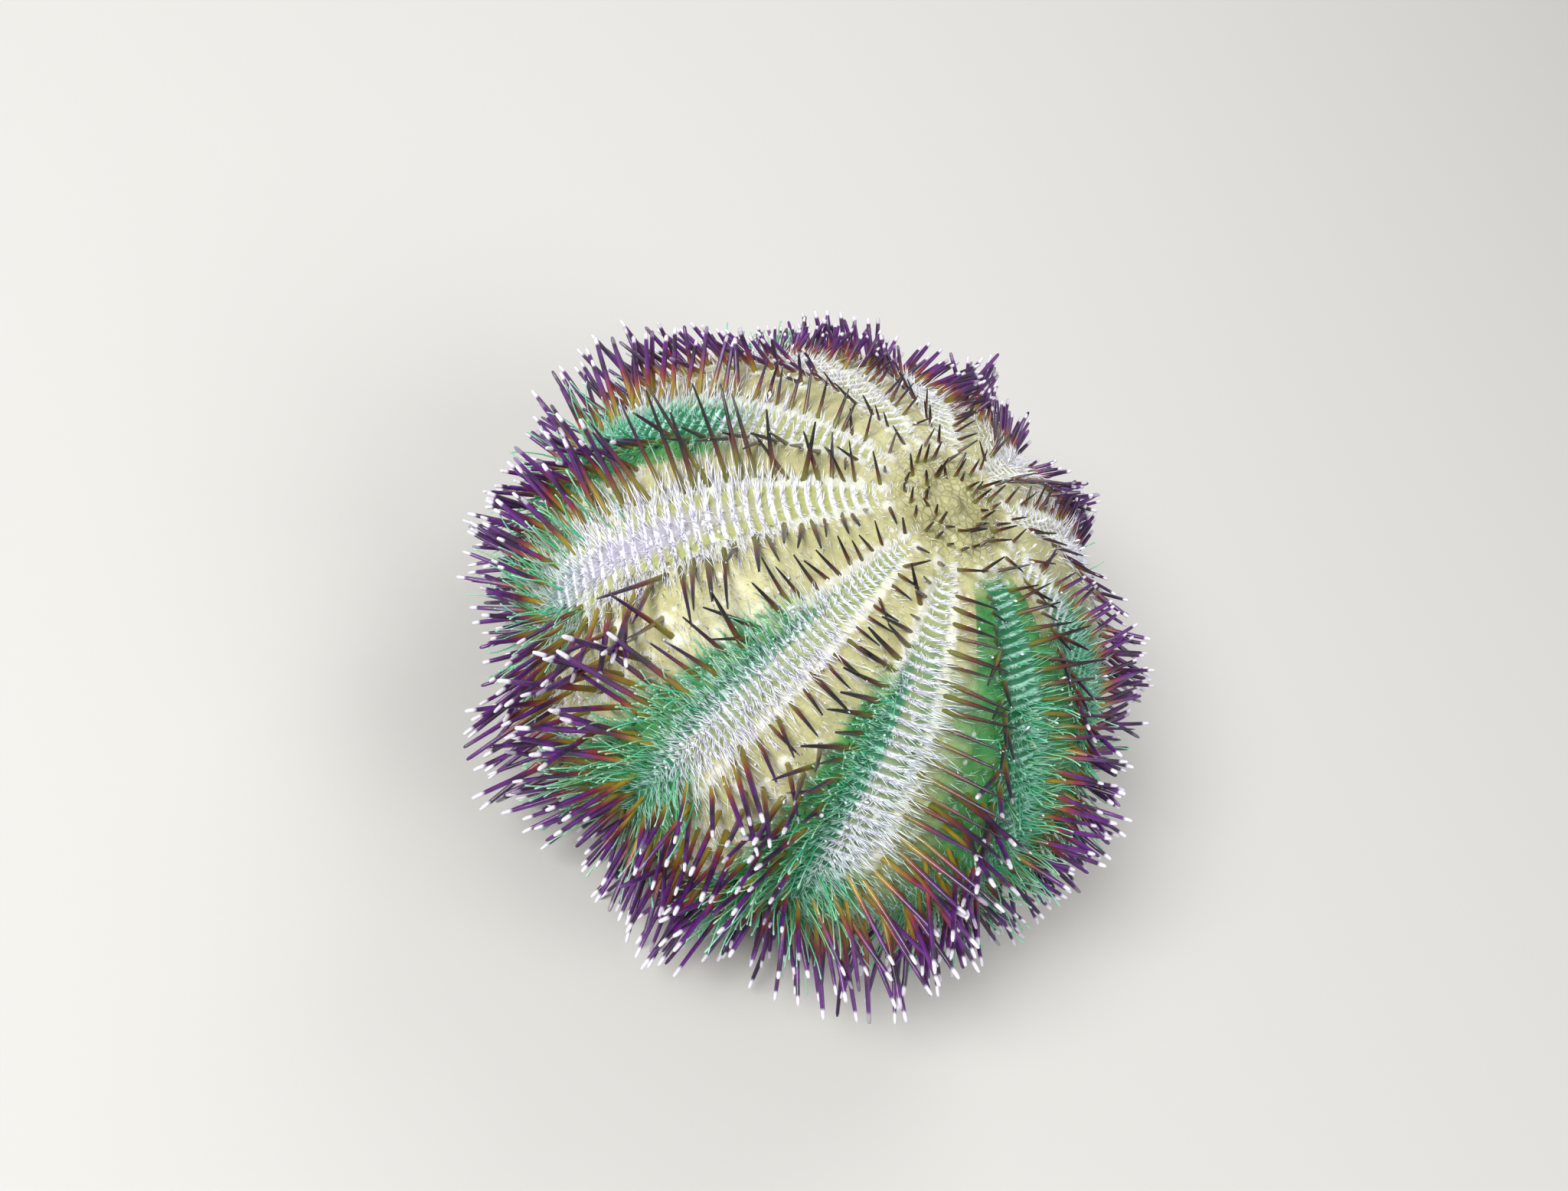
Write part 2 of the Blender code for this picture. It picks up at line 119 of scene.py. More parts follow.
# For each band: share of hairs on its combs, and hairs beside it at each plate
COMB_HAIR_SHARES = (1, 1.25, 1.35, 0.65, 0.6, 0.6, 0.4, 0.4, 0.45, 0.6)
EDGE_HAIR_COUNTS = (34, 34, 34, 17, 14, 14, 12, 12, 12, 16)
CROWN_HAIR_COUNT = 12
SKIN_HAIR_DRAWS = 31000
SKIN_HAIR_LENGTH = 0.0021
HAIRS_PER_PIECE = 16000

# Tube feet, pincer organs and crown spines
GREEN_BAND_FEET = 240
PLAIN_BAND_FEET = 70
TUFT_COUNT = 60
TUFT_SPREAD = 14
TUFT_LENGTHS = (0.0009, 0.0018)
MOUTH_FOOT_LENGTH, MOUTH_FOOT_RADIUS = 0.0014, 0.00022
PINCER_COUNT = 460
PINCER_POLARS = (150, 16)
PINCER_RADIUS = 0.00012
CROWN_SPINE_COUNT = 46
CROWN_SPINE_PLACES = (0.0046, 0.0028)
CROWN_SPINE_LENGTHS = (0.0014, 0.0030)
CROWN_SPINE_RADIUS = 0.00020
FOOT_POLAR = 152
FOOT_BAND_PLACE = 0.45
FOOT_SPLAY = 1.06
DISC_RADIUS = 0.0008
DISC_HEIGHT = 0.0004

# Crown and mouth of the solids
VENT_CONE_RADIUS = 0.0005
VENT_CONE_HEIGHT = 0.0005
CROWN_PLATE_RADIUS = 0.0011
CROWN_PLATE_PLACE = 0.0035
CROWN_PLATE_HEIGHT = 0.0003
SKIN_BULGE = 0.0006
LIP_RADIUS = 0.0027
LIP_WIDTH = 0.0009
LIP_HEIGHT = 0.0004
THROAT_DEPTH = 0.0006
BUCCAL_PLACE = 0.0052
BUCCAL_SPREAD = 9
TOOTH_WIDTH = 0.0010
TOOTH_LENGTH = 0.0022
TOOTH_EXTRA = 0.0008
TOOTH_SINK = 0.0003
TOOTH_BULGE = 0.00025
TOOTH_ROOT_NEAR, TOOTH_ROOT_FAR = 0.0009, 0.0023
TOOTH_EDGE_NEAR, TOOTH_EDGE_FAR = 0.00045, 0.00085

# Steps of the skin's profile before it is evened out and softened, and the mesh
WALL_STEPS = 3000
MOUTH_STEPS = 800
EVEN_STEPS = 4000
SOFT_STEPS = 15
SKIN_VALUES = ("band", "comb", "green", "mound", "mouth", "low", "middle", "crown")
SKIN_COLUMNS = 360
SKIN_ROWS = 266

# Relief of the skin, and how deep things stand in it
COMBS_PER_PLATE = np.array([2.4, 3.4, 2.8, 2.8, 2.4, 2.4, 2.4, 2.4, 2.8, 2.8])
MOUND_RADIUS, MOUND_REACH = 0.0006, 0.0014
BARE_LIFT = 0.0003
FOLD_HEIGHT = 0.00012
ROUGH_HEIGHT, ROUGH_SCALE = 0.00012, 450
ROOT_DEPTH = 0.0006
HAIR_ROOT_DEPTH = 0.00015
FLOOR_CLEARANCE = 0.00004

# Width of one spine's or hair's place on the OFBake map
PATCH = 0.003

# Photograph and the animal's middle on it in pixels, the camera's sensor in mm, and half the floor's side
PHOTO_WIDTH, PHOTO_HEIGHT = 2048, 1555
MIDDLE_X, MIDDLE_Y = 1071, 824
SENSOR = 36
FLOOR_HALF = 1.6

AREAS = [f"{kind}_{i + 1}" for i in range(AREA_COUNT) for kind in ("interambulacrum", "ambulacrum")]
FLESH = [*AREAS, "apical_ring", "periproct", "peristome"]
TEETH = [f"tooth_{i + 1}" for i in range(AREA_COUNT)]

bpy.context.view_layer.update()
VENT_LOW, VENT_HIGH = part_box("periproct")
AXIS = np.array([(VENT_LOW.x + VENT_HIGH.x) / 2, (VENT_LOW.y + VENT_HIGH.y) / 2, 0])


def linear(hexes):
    """Scene colour of a colour written as six hexadecimal digits."""
    shares = [int(hexes[i:i + 2], 16) / 255 for i in (0, 2, 4)]
    return tuple(s / 12.92 if s <= 0.04045 else ((s + 0.055) / 1.055) ** 2.4 for s in shares)


def length_setting(name, description, default):
    """Size that a user may change."""
    return FloatProperty(
        name=name, description=description, default=default, min=0, precision=5,
        subtype="DISTANCE", unit="LENGTH",
    )


def share_setting(name, description, default, most=2.0):
    """Share or strength that a user may change."""
    return FloatProperty(name=name, description=description, default=default, min=0, max=most)


def angle_setting(name, description, degrees):
    """Angle that a user may change."""
    return FloatProperty(
        name=name, description=description, default=math.radians(degrees),
        subtype="ANGLE", unit="ROTATION",
    )


def colour_setting(name, description, hexes):
    """Colour that a user may change."""
    return FloatVectorProperty(
        name=name, description=description, default=linear(hexes), size=3, min=0, max=1, subtype="COLOR",
    )


class UrchinSizes(bpy.types.PropertyGroup):
    """Sizes of the dressed pieces."""

    comb_height: length_setting("Comb height", "Height of the ridges across each band", 0.00020)
    mound_height: length_setting("Mound height", "Height of the mound under each large spine", 0.0003)
    spine_radius: length_setting("Spine radius", "Radius of a full-grown spine near its base", 0.000278)
    spine_share: share_setting("Spine length", "Length of the spines against the solids' spines", 1.0)
    hair_radius: length_setting("Hair radius", "Radius of a hair at its root", 0.00005)
    hair_length: length_setting("Hair length", "Length of the hairs on the combs", 0.0020)
    edge_hair_length: length_setting("Edge hair length", "Length of the hairs beside the spines", 0.0038)
    hairs_per_mm: IntProperty(
        name="Hairs per mm", description="Hairs on each comb, for each millimetre across", default=13, min=1,
    )
    foot_length: length_setting("Tube foot length", "Length of the tube feet on the sides", 0.0050)
    foot_radius: length_setting("Tube foot radius", "Radius of a tube foot", 0.000095)
    pincer_length: length_setting("Pincer length", "Length of the small pincer organs", 0.0016)


class UrchinColours(bpy.types.PropertyGroup):
    """Colours of skin, spines, hairs and feet."""

    skin_cream: colour_setting("Cream skin", "Bare skin on the pale side", "bab684")
    # Green skin and green furrow are partly painted greenish shade; lilac furrow and comb lilac are painted
    # lilac shade
    skin_green: colour_setting("Green skin", "Bare skin on the green side", "3f8c46")
    furrow: colour_setting("Furrow", "Skin between the combs", "a3a76c")
    furrow_lilac: colour_setting("Lilac furrow", "Skin between the combs, in the middle of a band", "a79fc2")
    furrow_green: colour_setting("Green furrow", "Skin between the combs on the green side", "22704c")
    comb_white: colour_setting("Comb white", "Crests of the combs", "f4f5fb")
    comb_lilac: colour_setting("Comb lilac", "Shaded part of the combs", "cfc3ea")
    spine_olive: colour_setting("Olive spine base", "Lower half of the spines near the crown", "6b6b1e")
    spine_maroon: colour_setting("Maroon spine middle", "Middle of the spines near the crown", "5a2418")
    spine_black: colour_setting("Dark spine tip", "Tips of the spines near the crown", "120910")
    spine_ochre: colour_setting("Ochre spine base", "Bases of the spines round the sides", "9f861e")
    spine_rose: colour_setting("Rose spine middle", "Middle of the spines round the sides", "8c2c38")
    spine_violet: colour_setting("Violet spine end", "Upper part of the spines round the sides", "5e1878")
    spine_white: colour_setting("White spine tip", "Blunt tips of the spines round the sides", "efe9f4")
    foot_green: colour_setting("Green tube foot", "Stems of the tube feet", "22b886")
    foot_pale: colour_setting("Pale tube foot", "Ends of the tube feet", "b9e6cf")
    crown_brown: colour_setting("Crown seams", "Seams and shaded plates of the crown", "6f6a3c")
    mouth_brown: colour_setting("Mouth skin", "Skin round the teeth", "8c7a52")
    tooth_ivory: colour_setting("Tooth", "Teeth", "efe8d2")


class UrchinStage(bpy.types.PropertyGroup):
    """Floor, lights and camera."""

    floor_grey: colour_setting("Floor", "Plain floor", "cfcdc8")
    key_power: share_setting("Key light", "Power of the main light in watts", 10.5, 50)
    fill_power: share_setting("Fill light", "Power of the light from the other side in watts", 2.9, 50)
    back_power: share_setting("Back light", "Power of the light from behind in watts", 2.8, 50)
    world_strength: share_setting("Surrounding light", "Strength of the even light all round", 0.27, 5)
    elevation: angle_setting("Elevation", "Height of the camera above the horizon", 46)
    roll: angle_setting("Roll", "Turn of the picture", 44)
    distance: length_setting("Distance", "From the camera to the middle of the animal", 0.1486)
    lens: FloatProperty(name="Lens", description="Focal length in mm", default=35, min=1)


def between(stops, polar):
    """Value at polar angles, on straight lines between the stops."""
    return np.interp(polar, *zip(*stops))


def eased(value, start, end):
    """Smooth step from 0 at the start to 1 at the end, which may be the lower of the two."""
    share = np.clip((value - start) / (end - start), 0, 1)
    return share * share * (3 - 2 * share)


def outline(polar):
    """Distance from the axis and height of the wall at polar angles."""
    turn = np.radians(polar)
    sine, cosine = np.clip(np.sin(turn), 0, 1), np.cos(turn)
    upper = np.asarray(polar) <= 90
    radius = WALL_RADIUS * np.where(upper, sine, sine ** BASE_SQUARENESS)
    drop = BASE_DROP * np.clip(-cosine, 0, 1) ** BASE_SQUARENESS
    return radius, WIDEST_HEIGHT + np.where(upper, CROWN_RISE * cosine, -drop)


def running(values):
    """Sums of the values so far, from 0."""
    return np.concatenate([[0], np.cumsum(values)])


def random_ways(draw, count):
    """Unit vectors in random directions."""
    return unit(draw.normal(0, 1, (count, 3)))


def read(items, key, width=1, kind=np.int32):
    """One value of all these items as an array."""
    values = np.empty(len(items) * width, kind)
    items.foreach_get(key, values)
    return values


def paint(mesh, name, values, domain="POINT"):
    """Writes an attribute that materials read."""
    data = mesh.attributes.new(name, "FLOAT", domain).data
    data.foreach_set("value", values.astype(np.float32))


def unwrapped(mesh, uv):
    """Writes the OFBake map."""
    mesh.uv_layers.new(name="OFBake").data.foreach_set("uv", uv.astype(np.float32).ravel())


def mesh_of(name, bm):
    """Mesh with what was built."""
    mesh = bpy.data.meshes.new(name)
    bm.to_mesh(mesh)
    bm.free()
    return mesh


def linked(name, data):
    """Object in the scene."""
    made = bpy.data.objects.new(name, data)
    bpy.context.scene.collection.objects.link(made)
    return made


def heading(azimuth):
    """Unit vectors in the floor plane."""
    turn = np.radians(azimuth)
    return np.stack([np.sin(turn), -np.cos(turn), np.zeros_like(turn)], -1)


def unit(vectors):
    """Vectors at length 1."""
    return vectors / np.linalg.norm(vectors, axis=-1, keepdims=True)


def upright(radius, height, azimuth):
    """Points at these distances from the axis and these heights."""
    azimuth = np.asarray(azimuth, float)
    radius, height = (np.broadcast_to(value, azimuth.shape) for value in (radius, height))
    return AXIS + heading(azimuth) * radius[..., None] + np.array([0, 0, 1]) * height[..., None]


def wall_frame(azimuth, polar):
    """Points on the wall, with their outward, downward and sideways directions."""
    azimuth, polar = np.broadcast_arrays(np.asarray(azimuth, float), np.asarray(polar, float))
    radius, height = outline(polar)
    (low_radius, low_height), (high_radius, high_height) = outline(polar + 0.5), outline(polar - 0.5)
    along = heading(azimuth) * (low_radius - high_radius)[..., None]
    along[..., 2] = low_height - high_height
    down, side = unit(along), heading(azimuth + 90)
    return upright(radius, height, azimuth), np.cross(down, side), down, side


POLAR_CROWN = math.degrees(math.asin(CROWN_HOLE_RADIUS / WALL_RADIUS))
POLAR_MOUTH = 180 - math.degrees(math.asin((MOUTH_RADIUS / WALL_RADIUS) ** (1 / BASE_SQUARENESS)))
MOUTH_EDGE = float(outline(POLAR_MOUTH)[1])
MOUTH_LOW = MOUTH_EDGE - SKIN_BULGE
THROAT_ROOF = MOUTH_EDGE + RECESS_DEPTH - GAP - THROAT_DEPTH


def plate_centres():
    """Polar angles at the middle of each plate of a column."""
    polar = POLAR_CROWN + EDGE_MARGIN
    found = []
    while polar < POLAR_MOUTH - EDGE_MARGIN:
        found.append(polar)
        low, high = outline(polar - 0.5), outline(polar + 0.5)
        polar += between(PLATE_HEIGHTS, polar) / math.hypot(high[0] - low[0], high[1] - low[1])
    return np.array(found)


PLATES = plate_centres()


def band_place(azimuth):
    """Number of the nearest band and the place across it: 0 at its middle, -1 and 1 on its rows."""
    away = ((azimuth[..., None] - BORDERS + 180) % 360 - 180) / BAND_HALVES
    number = np.abs(away).argmin(-1)
    return number, np.take_along_axis(away, number[..., None], -1)[..., 0]


def band_taper(number, polar):
    """Width of a band's white part against its full width. Most bands narrow down the sides."""
    full, least, start, end = np.moveaxis(BAND_TAPERS[number], -1, 0)
    return full - (full - least) * eased(polar, start, end)


def green_and_shade_share(azimuth, polar):
    """How green the skin is: strong on one flank, along one side of some bands and at their ends. It is
    partly the green of skin and tube feet and partly painted greenish shade.
    """
    # The flank's green is partly the animal's own and partly painted greenish shade
    flank = eased(np.abs((azimuth - 80 + 180) % 360 - 180), 55, 19)
    number, across = band_place(azimuth)
    # Painted greenish shade along one side of bands 1 to 3, and along one side of band 9
    before = eased(np.abs(across + 1.0), 0.95, 0.45) * np.isin(number, GREEN_SHADE_EDGE_BANDS)
    before = before * eased(polar, 26, 50) * np.where(number == 1, 0.7, 0.95)
    after = eased(np.abs(across - 0.7), 1.6, 1.0) * (number == 9) * eased(polar, 34, 54)
    # The green at the band ends down the sides is partly tube feet and partly painted greenish shade
    end = eased(np.abs(across), 1.6, 0.9) * eased(polar, 70, 88) * eased(polar, 140, 112)
    end = end * np.select([number == 0, np.isin(number, FAR_BANDS)], [0.4, 0.25], 0.85)
    upper = np.where(number == 3, eased(polar, 10, 24), eased(polar, 18, 40))
    sides = (flank + before + after) * upper * (1 - 0.95 * eased(polar, 108, 140))
    return np.clip(sides + end, 0, 1)


def skin_profile():
    """Points down the outer side from the crown to the roof of the throat, evenly spaced, with their
    polar angles. Angles past that of the mouth's edge stand for places on the mouth skin."""
    polar = np.linspace(0, POLAR_MOUTH, WALL_STEPS)
    radius, height = outline(polar)
    mouth = np.array([
        (MOUTH_RADIUS, MOUTH_EDGE), (0.72 * MOUTH_RADIUS, MOUTH_LOW), (LIP_RADIUS + LIP_WIDTH, MOUTH_LOW),
        (LIP_RADIUS + LIP_WIDTH / 2, MOUTH_LOW - LIP_HEIGHT), (LIP_RADIUS, MOUTH_LOW),
        (LIP_RADIUS - 0.0002, THROAT_ROOF), (0, THROAT_ROOF),
    ])
    reach = running(np.linalg.norm(np.diff(mouth, axis=0), axis=1))
    steps = np.linspace(0, reach[-1], MOUTH_STEPS)[1:]
    radius = np.concatenate([radius, np.interp(steps, reach, mouth[:, 0])])
    height = np.concatenate([height, np.interp(steps, reach, mouth[:, 1])])
    polar = np.concatenate([polar, POLAR_MOUTH + (180 - POLAR_MOUTH) * steps / reach[-1]])
    arc = running(np.hypot(np.diff(radius), np.diff(height)))
    places = np.linspace(0, arc[-1], EVEN_STEPS)
    soft = np.ones(SOFT_STEPS) / SOFT_STEPS
    kept = places[SOFT_STEPS // 2:-(SOFT_STEPS // 2)]
    rounded = [np.convolve(np.interp(places, arc, value), soft, "valid") for value in (radius, height)]
    rows = np.linspace(0, arc[-1], SKIN_ROWS)
    radius, height = (np.interp(rows, kept, value) for value in rounded)
    radius[[0, -1]] = 0
    return radius, height, np.interp(rows, arc, polar)


def spine_places():
    """Azimuth, polar angle, sideways lean from -1 to 1 and length share of each large spine. A row is given
    as its share of the way from the area's middle to the band's edge, its share of the way on into the
    band, lean, length share, and the polar angles between which it runs."""
    middles = (PLATES[1:] + PLATES[:-1]) / 2
    found = []
    for number, border, half in BANDS:
        fill, end = FILL_STARTS[number], END_STARTS[number]
        rows_at_plates = (
            (1, 0, 1, 1, 0, 180), (0.55, 0, 0.6, 0.98, fill, 180), (1, 0.36, 0.7, 0.85, end, LAST_SPINE_END),
            (1, 0.8, 0.3, 0.66, end + 14, LAST_SPINE_END),
        )
        rows_between = (
            (0.97, 0, 0.95, 0.92, 20, 180), (0.2, 0, 0.3, 0.98, fill - 6, 180),
            (1, 0.6, 0.5, 0.75, end + 8, LAST_SPINE_END),
        )
        for side in (-1, 1):
            area_half = INTER_HALF if (number % 2 == 0) == (side > 0) else AMB_HALF
            median, row = border + side * area_half, area_half - half
            for places, rows in ((PLATES, rows_at_plates), (middles, rows_between)):
                for polar in places:
                    for outward, inward, lean, share, start, stop in rows:
                        if not start < polar < stop:
                            continue
                        if number == 1 and lean > 0.9 and polar < 62:
                            share *= SHORT_ROW_SHARE
                        away = row * outward + half * inward
                        found.append((median - side * away, polar, side * lean, share))
    return np.array(found)


def template(sides, stations, waist=None):
    """Closed upright shape of radius 1 and height 1 as arrays. Stations are (height, radius) from the
    root to the tip; a last radius of 0 makes a point."""
    bm = bmesh.new()
    bmesh.ops.create_cone(
        bm, cap_ends=True, segments=sides, radius1=1, radius2=1, depth=1,
        matrix=Matrix.Translation((0, 0, 0.5)),
    )
    for height, _ in stations[1:-1]:
        bmesh.ops.bisect_plane(
            bm, geom=bm.verts[:] + bm.edges[:] + bm.faces[:], dist=1e-6,
            plane_co=(0, 0, height), plane_no=(0, 0, 1),
        )
    for vert in bm.verts:
        radius = float(between(stations, vert.co.z))
        vert.co.x *= radius
        vert.co.y *= radius
    bmesh.ops.remove_doubles(bm, verts=bm.verts, dist=1e-5)
    bmesh.ops.recalc_face_normals(bm, faces=bm.faces)
    bm.verts.index_update()
    points = np.array([vert.co for vert in bm.verts])
    corners = np.concatenate([[vert.index for vert in face.verts] for face in bm.faces])
    sizes = np.array([len(face.verts) for face in bm.faces])
    bm.free()
    turn = np.arctan2(points[:, 1], points[:, 0]) / math.tau % 1
    corner_turn = turn[corners]
    for start, size in zip(running(sizes), sizes):
        around = corner_turn[start:start + size]
        if around.max() - around.min() > 0.5:
            around[around < 0.5] += 1
    return points, corners, sizes, corner_turn


def planted(shape, roots, directions, lengths, radii, bends=None, waves=None, **values):
    """Copies of a template: one for each root, turned along its direction. A bend moves a copy's tip,
    and a wave its middle to and fro. Each copy's own values spread to all its points."""
    points, corners, sizes, corner_turn = shape
    count = len(roots)
    helper = np.where(np.abs(directions[:, 2:]) > 0.9, [[1.0, 0, 0]], [[0, 0, 1.0]])
    across = unit(np.cross(helper, directions))
    third = np.cross(directions, across)
    along = points[:, 2]
    lengths, radii = (np.broadcast_to(value, count)[:, None, None] for value in (lengths, radii))
    placed = roots[:, None] + lengths * along[None, :, None] * directions[:, None]
    placed = placed + radii * (points[None, :, :1] * across[:, None] + points[None, :, 1:2] * third[:, None])
    if bends is not None:
        placed = placed + bends[:, None] * (along ** 2)[None, :, None]
    if waves is not None:
        placed = placed + waves[:, None] * np.sin(math.tau * along)[None, :, None]
    placed[..., 2] = np.maximum(placed[..., 2], FLOOR_CLEARANCE)
    azimuth, height = skin_unwrap(roots)
    patch = PATCH * (0.5 + 0.5 * points[:, 0])
    uv = np.stack([azimuth[:, None] + patch - PATCH / 2, height[:, None] + PATCH * along], -1)
    return {
        "points": placed.reshape(-1, 3),
        "corners": (corners + len(points) * np.arange(count)[:, None]).ravel(),
        "sizes": np.tile(sizes, count),
        "uv": uv[:, corners].reshape(-1, 2),
        "turn": np.tile(corner_turn, count),
        "values": {
            "along": np.tile(along, count),
            **{name: np.repeat(value, len(points)) for name, value in values.items()},
        },
    }


def skin_unwrap(points):
    """Place of points on the unwrap of the skin: azimuth and arc down from the crown, from 0 to 1."""
    away = points - AXIS
    azimuth = (np.degrees(np.arctan2(away[..., 0], -away[..., 1])) / 360) % 1
    radius = np.hypot(away[..., 0], away[..., 1]) / WALL_RADIUS
    rise = away[..., 2] - WIDEST_HEIGHT
    polar = np.degrees(np.arctan2(radius, rise / np.where(rise > 0, CROWN_RISE, BASE_DROP)))
    return np.clip(azimuth, PATCH, 1 - PATCH), np.clip(1 - polar / 180, PATCH, 1 - 2 * PATCH)


def gathered(found):
    """Arrays that run through all the parts of these rows."""
    return [np.concatenate(part) for part in zip(*found)]


def finished(name, mesh, material, nodes=()):
    """Object at the origin that rides on the root body and stands for these nodes."""
    made = linked(name, mesh)
    mesh.materials.append(material)
    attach(made, "root")
    if nodes:
        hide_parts(*nodes)
    return made


def joined(name, parts, material, nodes=()):
    """One object of many planted copies, with their values as attributes and the OFBake map."""
    offset, corners = 0, []
    for part in parts:
        corners.append(part["corners"] + offset)
        offset += len(part["points"])
    corners = np.concatenate(corners)
    points, sizes, uv, turn = (
        np.concatenate([part[key] for part in parts]) for key in ("points", "sizes", "uv", "turn")
    )
    mesh = bpy.data.meshes.new(name)
    mesh.vertices.add(len(points))
    mesh.vertices.foreach_set("co", points.astype(np.float32).ravel())
    mesh.loops.add(len(corners))
    mesh.loops.foreach_set("vertex_index", corners.astype(np.int32))
    mesh.polygons.add(len(sizes))
    mesh.polygons.foreach_set("loop_start", running(sizes)[:-1].astype(np.int32))
    mesh.update(calc_edges=True)
    mesh.shade_smooth()
    for key in parts[0]["values"]:
        paint(mesh, key, np.concatenate([part["values"][key] for part in parts]))
    paint(mesh, "turn", turn, "CORNER")
    unwrapped(mesh, uv)
    return finished(name, mesh, material, nodes)


def feed(tree, socket, value):
    """Links a socket to a value's output, or sets it."""
    if isinstance(value, bpy.types.NodeSocket):
        tree.links.new(value, socket)
    elif socket.type == "RGBA" and len(value) == 3:
        socket.default_value = (*value, 1)
    else:
        socket.default_value = value


def add_node(tree, kind, inputs=(), **settings):
    """Adds a node with these settings and inputs."""
    made = tree.nodes.new(kind)
    for name, value in settings.items():
        setattr(made, name, value)
    for name, value in dict(inputs).items():
        feed(tree, made.inputs[name], value)
    return made


def maths(tree, operation, *values):
    """Result of a sum on values and sockets."""
    made = tree.nodes.new("ShaderNodeMath")
    made.operation = operation
    for socket, value in zip(made.inputs, values):
        feed(tree, socket, value)
    return made.outputs[0]


def times(tree, first, *others):
    """Product of values and sockets."""
    for value in others:
        first = maths(tree, "MULTIPLY", first, value)
    return first


def stepped(tree, value, start, end):
    """Value from 0 at the start to 1 at the end, eased."""
    made = add_node(tree, "ShaderNodeMapRange", {
        "Value": value, "From Min": start, "From Max": end, "To Min": 0.0, "To Max": 1.0,
    }, interpolation_type="SMOOTHSTEP")
    return made.outputs["Result"]


def mixed(tree, share, first, second, way="MIX"):
    """Colour between two colours."""
    made = add_node(tree, "ShaderNodeMix", data_type="RGBA", blend_type=way)
    for index, value in ((0, share), (6, first), (7, second)):
        feed(tree, made.inputs[index], value)
    return made.outputs[2]


def layered(tree, colour, *layers):
    """Colour with others laid over it, each as (share, colour)."""
    for share, tint in layers:
        colour = mixed(tree, share, colour, tint)
    return colour


def painted(tree, name):
    """Value that the mesh carries for each point."""
    return add_node(tree, "ShaderNodeAttribute", attribute_name=name).outputs["Fac"]


def ramp(tree, value, stops):
    """Colour along a row of (place, colour) stops."""
    made = add_node(tree, "ShaderNodeValToRGB", {"Fac": value})
    elements = made.color_ramp.elements
    while len(elements) < len(stops):
        elements.new(1)
    for element, (place, colour) in zip(elements, stops):
        element.position = place
        element.color = (*colour, 1)
    return made.outputs["Color"]


def grain(tree, vector, scale, detail=3.0):
    """Noise from 0 to 1."""
    return add_node(tree, "ShaderNodeTexNoise", {
        "Vector": vector, "Scale": scale, "Detail": detail, "Roughness": 0.6,
    }).outputs[0]


def new_group(name, inputs, outputs):
    """Empty node group with these sockets, and its input and output nodes."""
    tree = bpy.data.node_groups.new(name, "ShaderNodeTree")
    for label, kind in inputs:
        tree.interface.new_socket(label, in_out="INPUT", socket_type=kind)
    for label, kind in outputs:
        tree.interface.new_socket(label, in_out="OUTPUT", socket_type=kind)
    return tree, tree.nodes.new("NodeGroupInput").outputs, tree.nodes.new("NodeGroupOutput").inputs


def mottling_group():
    """Living surface: the colour drifts in brightness and hue, and a fine height goes with it."""
    number, colour = "NodeSocketFloat", "NodeSocketColor"
    tree, given, out = new_group(
        "Mottling",
        (("Colour", colour), ("Vector", "NodeSocketVector"), ("Scale", number), ("Amount", number)),
        (("Colour", colour), ("Height", number), ("Roughness", number)),
    )
    broad = grain(tree, given["Vector"], given["Scale"])
    fine = grain(tree, given["Vector"], times(tree, given["Scale"], 5.0))
    drift, speck = (
        times(tree, maths(tree, "SUBTRACT", value, 0.5), given["Amount"]) for value in (broad, fine)
    )
    shifted = add_node(tree, "ShaderNodeHueSaturation", {
        "Hue": maths(tree, "MULTIPLY_ADD", drift, 0.12, 0.5),
        "Saturation": maths(tree, "MULTIPLY_ADD", speck, 0.6, 1.0),
        "Value": maths(tree, "ADD", 1.0, maths(tree, "ADD", drift, speck)),
        "Color": given["Colour"],
    })
    tree.links.new(shifted.outputs["Color"], out["Colour"])
    tree.links.new(maths(tree, "MULTIPLY_ADD", broad, 0.4, fine), out["Height"])
    tree.links.new(maths(tree, "MULTIPLY_ADD", fine, 0.35, 0.2), out["Roughness"])
    return tree


def ribbing_group():
    """Fine lengthwise ribs round a spine, as a height and a shade: the shade is painted, dark in the grooves
    and light on the ribs.
    """
    number = "NodeSocketFloat"
    tree, given, out = new_group(
        "Ribbing", [(name, number) for name in ("Turn", "Along", "Ribs")],
        [(name, number) for name in ("Height", "Shade")],
    )
    angle = times(tree, given["Turn"], given["Ribs"], math.tau)
    wave = maths(tree, "MULTIPLY_ADD", maths(tree, "COSINE", angle), 0.5, 0.5)
    worn = maths(tree, "MULTIPLY_ADD", given["Along"], -0.6, 1.0)
    height = times(tree, wave, worn)
    tree.links.new(height, out["Height"])
    tree.links.new(maths(tree, "MULTIPLY_ADD", height, 0.25, 0.85), out["Shade"])
    return tree


def shared_group(name):
    """Node group by name, built the first time."""
    makers = {"Mottling": mottling_group, "Ribbing": ribbing_group}
    return bpy.data.node_groups.get(name) or makers[name]()


def group_node(tree, name, inputs):
    """Places a shared node group."""
    made = tree.nodes.new("ShaderNodeGroup")
    made.node_tree = shared_group(name)
    for label, value in inputs.items():
        feed(tree, made.inputs[label], value)
    return made.outputs


def new_material(name, **shader):
    """Material with its shader's own sockets set, and the object coordinates."""
    made = bpy.data.materials.new(name)
    made.use_nodes = True
    tree = made.node_tree
    surface = tree.nodes["Principled BSDF"]
    for label, value in shader.items():
        surface.inputs[label.replace("_", " ")].default_value = value
    return made, tree, surface, add_node(tree, "ShaderNodeTexCoord").outputs["Object"]


